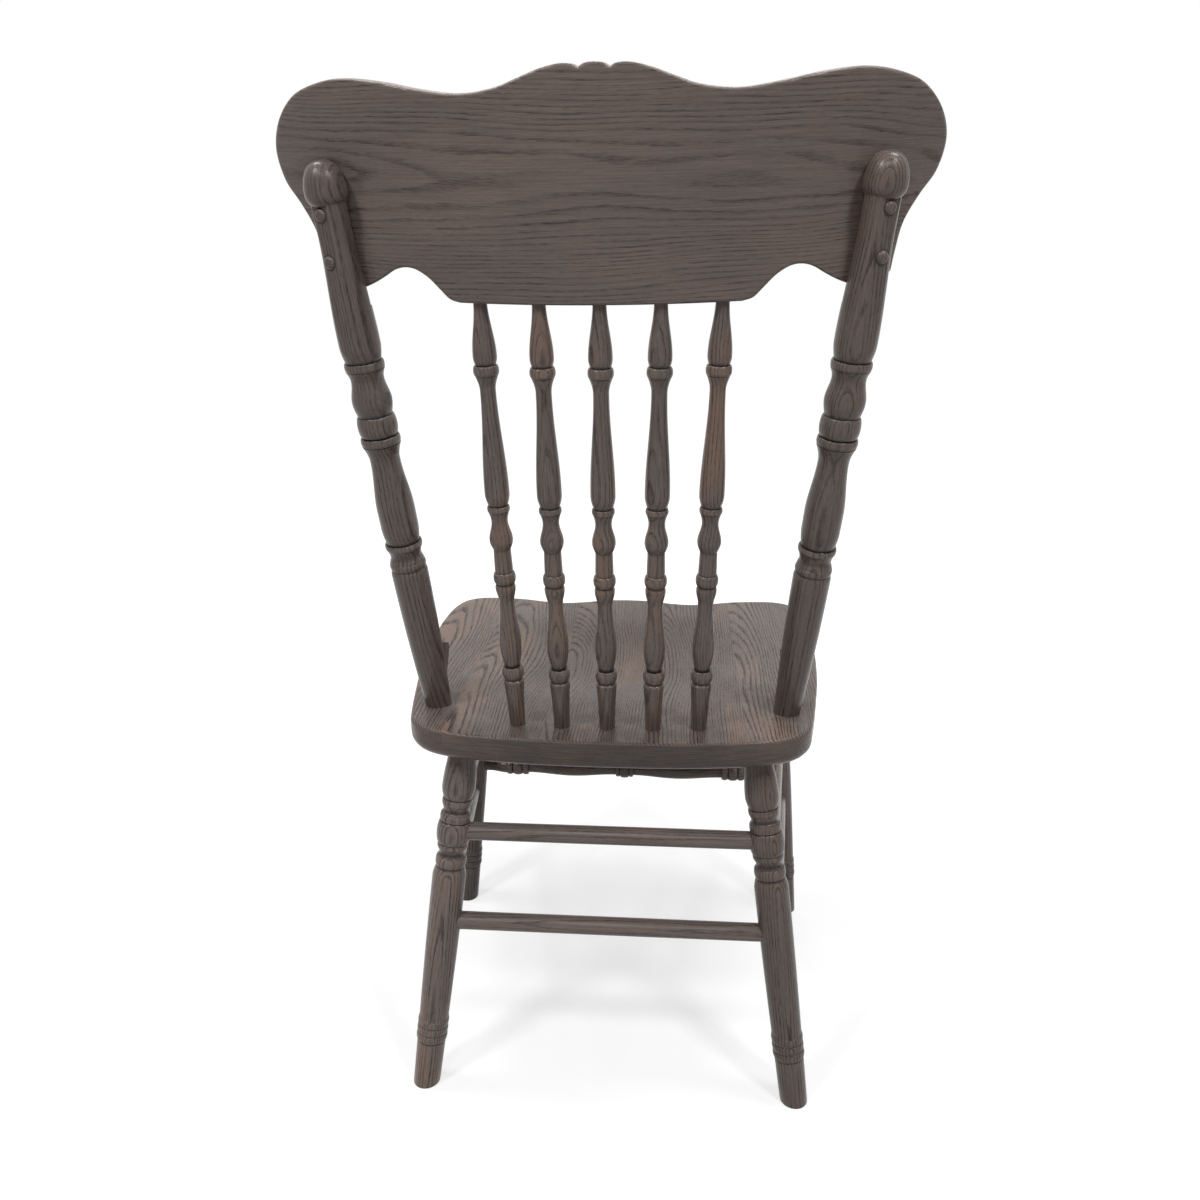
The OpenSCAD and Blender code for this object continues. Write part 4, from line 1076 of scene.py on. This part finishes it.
def flat_point(side, distance):
    """Where the screws' axis leaves the flat on the post's back."""
    reach = (POST_FLAT + flat_slope * (post_length - KNOB_HEIGHT - distance)) / math.hypot(1, flat_slope)
    return post_point(side, distance) + screw_direction(side) * reach


KNOB_STEPS, KNOB_CROWN = 22, 0.8


def knob_points():
    points = []
    for i in range(-KNOB_STEPS, KNOB_STEPS + 1):
        angle = math.pi / 2 * i / KNOB_STEPS
        above = i > 0
        radius = 0.0 if abs(i) == KNOB_STEPS else knob_radius * math.cos(angle) ** (KNOB_CROWN if above else 1)
        points.append((radius, (KNOB_HEIGHT if above else KNOB_UNDER) * math.sin(angle)))
    return points


POST_LOOKS = {
    LEFT: {"turn": -0.37, "seed": 41, "pith": (34, 14), "warmth": 0.25},
    RIGHT: {"turn": 2.1, "seed": 42, "pith": (13, -11), "warmth": 0.3},
}
CUTTER_REACH, CUTTER_HEIGHT, CUTTER_SPARE, CUTTER_SIDES = 200, 60, 8, 512
PLUG_DROPS = (PLUG_TOP_DROP, PLUG_TOP_DROP + PLUG_PITCH)


def post_piece(side, blank, knob):
    """A post with its flat, its knob and the seat of the crest rail."""
    node = "back_post_left" if side == LEFT else "back_post_right"
    looks = dict(POST_LOOKS[side])
    turned = looks.pop("turn")
    placement = stand(post_point(side, -POST_END_DEPTH), post_top(side), turned)
    piece = place(copy_of(blank, "turned_" + node), placement)
    face = flat_point(side, post_length - KNOB_HEIGHT)
    flat = block("flat_cutter", (-CUTTER_REACH, -CUTTER_REACH, 0), (CUTTER_REACH, CUTTER_REACH, CUTTER_HEIGHT))
    cut(piece, place(flat, stand(face, face + screw_direction(side))))
    neck = post_point(side, post_length - KNOB_HEIGHT)
    cut(piece, place(copy_of(knob, "knob"), stand(neck, post_top(side), turned)), "UNION")
    bend = primitive(
        bpy.ops.mesh.primitive_cylinder_add, "bend_cutter", vertices=CUTTER_SIDES,
        radius=(CREST_BEND + CREST_THICKNESS / 2 + FACE_GAP) * MM, depth=(CREST_HEIGHT + CUTTER_SPARE) * MM,
    )
    middle = Matrix.Translation((0, -CREST_BEND * MM, (CREST_HEIGHT - CUTTER_SPARE) / 2 * MM))
    cut(piece, place(bend, crest_frame @ middle))
    close_seams(piece)
    mark_relief(piece, placement, profile_points(POST_PROFILE))
    studs = [flat_point(side, post_length - drop) for drop in PLUG_DROPS]
    looks.update(tone=0.94, line=0.95, studs=studs)
    material = turned_oak(node, placement, tilt=(0.025, -0.015), ring=3.6, **looks)
    finish_piece(piece, node, material)


def post_pieces():
    blank = turn("post_blank", profile_points(POST_PROFILE))
    knob = turn("knob_blank", knob_points())
    for side in (LEFT, RIGHT):
        post_piece(side, blank, knob)
    bpy.data.objects.remove(blank)
    bpy.data.objects.remove(knob)


# Small blocks in front of the posts, each cut round its post by a cone and eased along its edges
BRACE_CONE_FLARE, BRACE_CONE_LENGTH, BRACE_CONE_MIDDLE, BRACE_CONE_SIDES = 3.4, 100, 40, 96
BRACE_ROUND_STEPS, BRACE_EASE = 12, 0.8


def brace_piece(side):
    node = "post_brace_left" if side == LEFT else "post_brace_right"
    base = post_base(side)
    offset = BRACE_HEIGHT / 2 * POST_LEAN_OUT / POST_RISE
    corner = Vector((base.x + side * offset, base.y - hinge_y - BRACE_REACH, 0)) * MM
    placement = seat_frame @ Matrix.Translation(corner)
    depth = BRACE_REACH - BRACE_SHOULDER
    half_width = BRACE_WIDTH / 2
    piece = block("block_" + node, (-half_width, 0, 0), (half_width, depth, BRACE_HEIGHT))
    for vertex in piece.data.vertices:
        behind, above = vertex.co.y > depth / 2 * MM, vertex.co.z > BRACE_HEIGHT / 2 * MM
        if behind and above:
            vertex.co.y += BRACE_HEIGHT * math.tan(back_lean) * MM
            vertex.co.z += BRACE_REAR_RISE * MM
        elif above:
            vertex.co.z -= BRACE_FRONT_FALL * MM
        elif not behind:
            vertex.co.y += (BRACE_REACH - BRACE_FOOT_REACH) * MM
        if not above and vertex.co.x * side < 0:
            vertex.co.x += side * BRACE_FOOT_TAPER * MM
    with editing("EDGE"):
        bpy.ops.mesh.select_all(action="DESELECT")
    for edge in piece.data.edges:
        ends = [piece.data.vertices[i].co for i in edge.vertices]
        edge.select = all(end.y < depth / 2 * MM and end.z > BRACE_HEIGHT / 2 * MM for end in ends)
    bpy.ops.object.mode_set(mode="EDIT")
    bpy.ops.mesh.bevel(offset=BRACE_ROUND * MM, segments=BRACE_ROUND_STEPS, profile=0.5)
    bpy.ops.object.mode_set(mode="OBJECT")
    place(piece, placement)
    cone = primitive(
        bpy.ops.mesh.primitive_cone_add, "post_cutter", vertices=BRACE_CONE_SIDES, depth=BRACE_CONE_LENGTH * MM,
        radius1=(POST_END / 2 + FACE_GAP) * MM, radius2=(POST_END / 2 + BRACE_CONE_FLARE) * MM,
    )
    cut(piece, place(cone, stand(post_point(side, BRACE_CONE_MIDDLE), post_top(side))))
    modifier = piece.modifiers.new("ease", "BEVEL")
    modifier.width = BRACE_EASE * MM
    modifier.segments = 3
    modifier.limit_method = "ANGLE"
    modifier.angle_limit = math.radians(40)
    bpy.ops.object.modifier_apply(modifier=modifier.name)
    material = turned_oak(node, placement, 50 + side, (20, 30), (0, 0), ring=3.0, warmth=0.2, tone=0.85)
    finish_piece(piece, node, material)


# Spindles
SPINDLE_LOOKS = {
    2: {"turn": 0.4, "pith": (20, 9), "warmth": 0.85},
    1: {"turn": 1.9, "pith": (27, -8), "warmth": 0.6},
    0: {"turn": 3.3, "pith": (17, 12), "warmth": 0.85},
    -1: {"turn": 4.4, "pith": (24, -14), "warmth": 0.8},
    -2: {"turn": 5.6, "pith": (18, 8), "warmth": 0.8},
}


def spindle_pieces():
    for reach in (0, 1, 2):
        blank = turn("spindle_blank", profile_points(spindle_profile(reach)), SPINDLE_SIDES)
        for k in sorted({reach, -reach}):
            looks = dict(SPINDLE_LOOKS[k])
            node = f"spindle_{3 - k}"
            base, top = spindle_base(k), spindle_top(k)
            placement = stand(toward(base, top, -SPINDLE_SEAT_DEPTH), top, looks.pop("turn"))
            piece = place(copy_of(blank, "turned_" + node), placement)
            material = turned_oak(node, placement, seed=60 + k, tilt=(0.015, 0.01), ring=2.8, **looks)
            finish_piece(piece, node, material)
        bpy.data.objects.remove(blank)


# Domed plugs over the screws
PLUG_STEM, PLUG_ROOT, DOME_STEPS, DOME_CROWN = 4.5, 4.0, 12, 0.6


def plug_points():
    points = [(0.0, -PLUG_ROOT), (PLUG_STEM, -PLUG_ROOT), (PLUG_STEM, 0.0)]
    for i in range(DOME_STEPS):
        angle = math.pi / 2 * i / DOME_STEPS
        points.append((PLUG_HEAD / 2 * math.cos(angle) ** DOME_CROWN, PLUG_DOME * math.sin(angle)))
    return points + [(0.0, PLUG_DOME)]


def plug_pieces():
    blank = turn("plug_blank", plug_points(), PLUG_SIDES)
    copies = []
    for side in (LEFT, RIGHT):
        for drop in PLUG_DROPS:
            face = flat_point(side, post_length - drop)
            copies.append(place(copy_of(blank, "plug"), stand(face, face + screw_direction(side), drop)))
    bpy.data.objects.remove(blank)
    select_only(*copies)
    bpy.ops.object.join()
    piece = bpy.context.object
    piece.name = "domed_screw_plugs"
    piece.data.attributes.remove(piece.data.attributes["relief"])
    knob_face = flat_point(LEFT, post_length)
    placement = stand(knob_face, knob_face + screw_direction(LEFT))
    material = turned_oak("screw_plugs", placement, 71, (9, 30), (0, 0), ring=2.2, warmth=0.3, tone=1.05)
    finish_piece(piece, "screw_plugs", material)


# Camera at the photograph's viewing angle
FOCAL_SHARE = 963.2 / 1200
CAMERA_PLACE = Vector((-64.6, 1063.4, 860.0)) * MM
IMAGE_RIGHT = Vector((-0.99708, -0.07606, -0.00613))
IMAGE_UP = Vector((0.01627, -0.29042, 0.95676))


def camera():
    data = bpy.data.cameras.new("camera")
    data.sensor_fit = "HORIZONTAL"
    data.sensor_width = 36
    data.lens = FOCAL_SHARE * data.sensor_width
    held = bpy.data.objects.new("camera", data)
    bpy.context.scene.collection.objects.link(held)
    back = IMAGE_RIGHT.cross(IMAGE_UP).normalized()
    up = back.cross(IMAGE_RIGHT).normalized()
    aim = Matrix((up.cross(back), up, back)).transposed()
    held.matrix_world = Matrix.Translation(CAMERA_PLACE) @ aim.to_4x4()
    bpy.context.scene.camera = held


# Stage: a pale floor that keeps the chair's shadow, and a white surround. The floor glows a little where it is
# looked at, more from FAR_FLOOR's first distance from the chair to its second, and the surround lights by AMBIENT.
FLOOR_GREY, FLOOR_GLOW, FAR_FLOOR = 0.5, 0.66, (300, 1400)
AMBIENT = 0.07
WHITE = (1, 1, 1, 1)


def floor():
    plane = primitive(bpy.ops.mesh.primitive_plane_add, "floor", size=30)
    finish = new_finish("pale_floor")
    matt = finish.node("ShaderNodeBsdfDiffuse", None, {"Color": (FLOOR_GREY,) * 3 + (1,)})
    x, y, z = finish.place_in(Matrix.Identity(4))
    far = finish.ease((x * x + y * y).math("SQRT"), *FAR_FLOOR)
    strength = finish.seen() * (FLOOR_GLOW + far * (1 - FLOOR_GLOW))
    glow = finish.node("ShaderNodeEmission", None, {"Color": WHITE, "Strength": strength})
    both = finish.node("ShaderNodeAddShader", None, {0: matt.outputs[0], 1: glow.outputs[0]})
    finish.node("ShaderNodeOutputMaterial", None, {"Surface": both.outputs[0]})
    plane.data.materials.append(finish.owner)


def surround():
    world = bpy.data.worlds.new("surround")
    bpy.context.scene.world = world
    finish = Finish(world)
    strength = finish.seen() * (1 - AMBIENT) + AMBIENT
    light = finish.node("ShaderNodeBackground", None, {"Color": WHITE, "Strength": strength})
    finish.node("ShaderNodeOutputWorld", None, {"Surface": light.outputs[0]})


# Where the lamps aim, in metres
LAMP_TARGET = Vector((0, 0, 0.5))
LAMPS = [
    # place in metres, size in metres, power in watts
    ((-0.9, 0.1, 2.7), (0.45, 0.8), 18),
    ((0.9, -0.2, 2.7), (0.45, 0.8), 18),
    ((1.3, 1.55, 2.6), (0.4, 0.5), 28),
    ((-1.3, 1.55, 2.6), (0.4, 0.5), 28),
    ((0.3, 2.3, 2.6), (0.7, 0.5), 11),
    ((0.0, -1.7, 3.0), (1.2, 1.0), 14),
]


def lamps():
    for i, (position, size, power) in enumerate(LAMPS):
        data = bpy.data.lights.new(f"panel_{i}", "AREA")
        data.shape = "RECTANGLE"
        data.size, data.size_y = size
        data.energy = power
        lamp = bpy.data.objects.new(f"panel_{i}", data)
        bpy.context.scene.collection.objects.link(lamp)
        lamp.location = position
        lamp.rotation_euler = (LAMP_TARGET - Vector(position)).to_track_quat("-Z", "Y").to_euler()


seat_piece()
crest_piece()
leg_pieces()
stretcher_pieces()
post_pieces()
brace_piece(LEFT)
brace_piece(RIGHT)
spindle_pieces()
plug_pieces()
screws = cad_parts["crest_screws"]
screws.data.materials.clear()
screws.data.materials.append(brushed_steel())

camera()
floor()
surround()
lamps()
bpy.context.scene.view_settings.view_transform = "Standard"
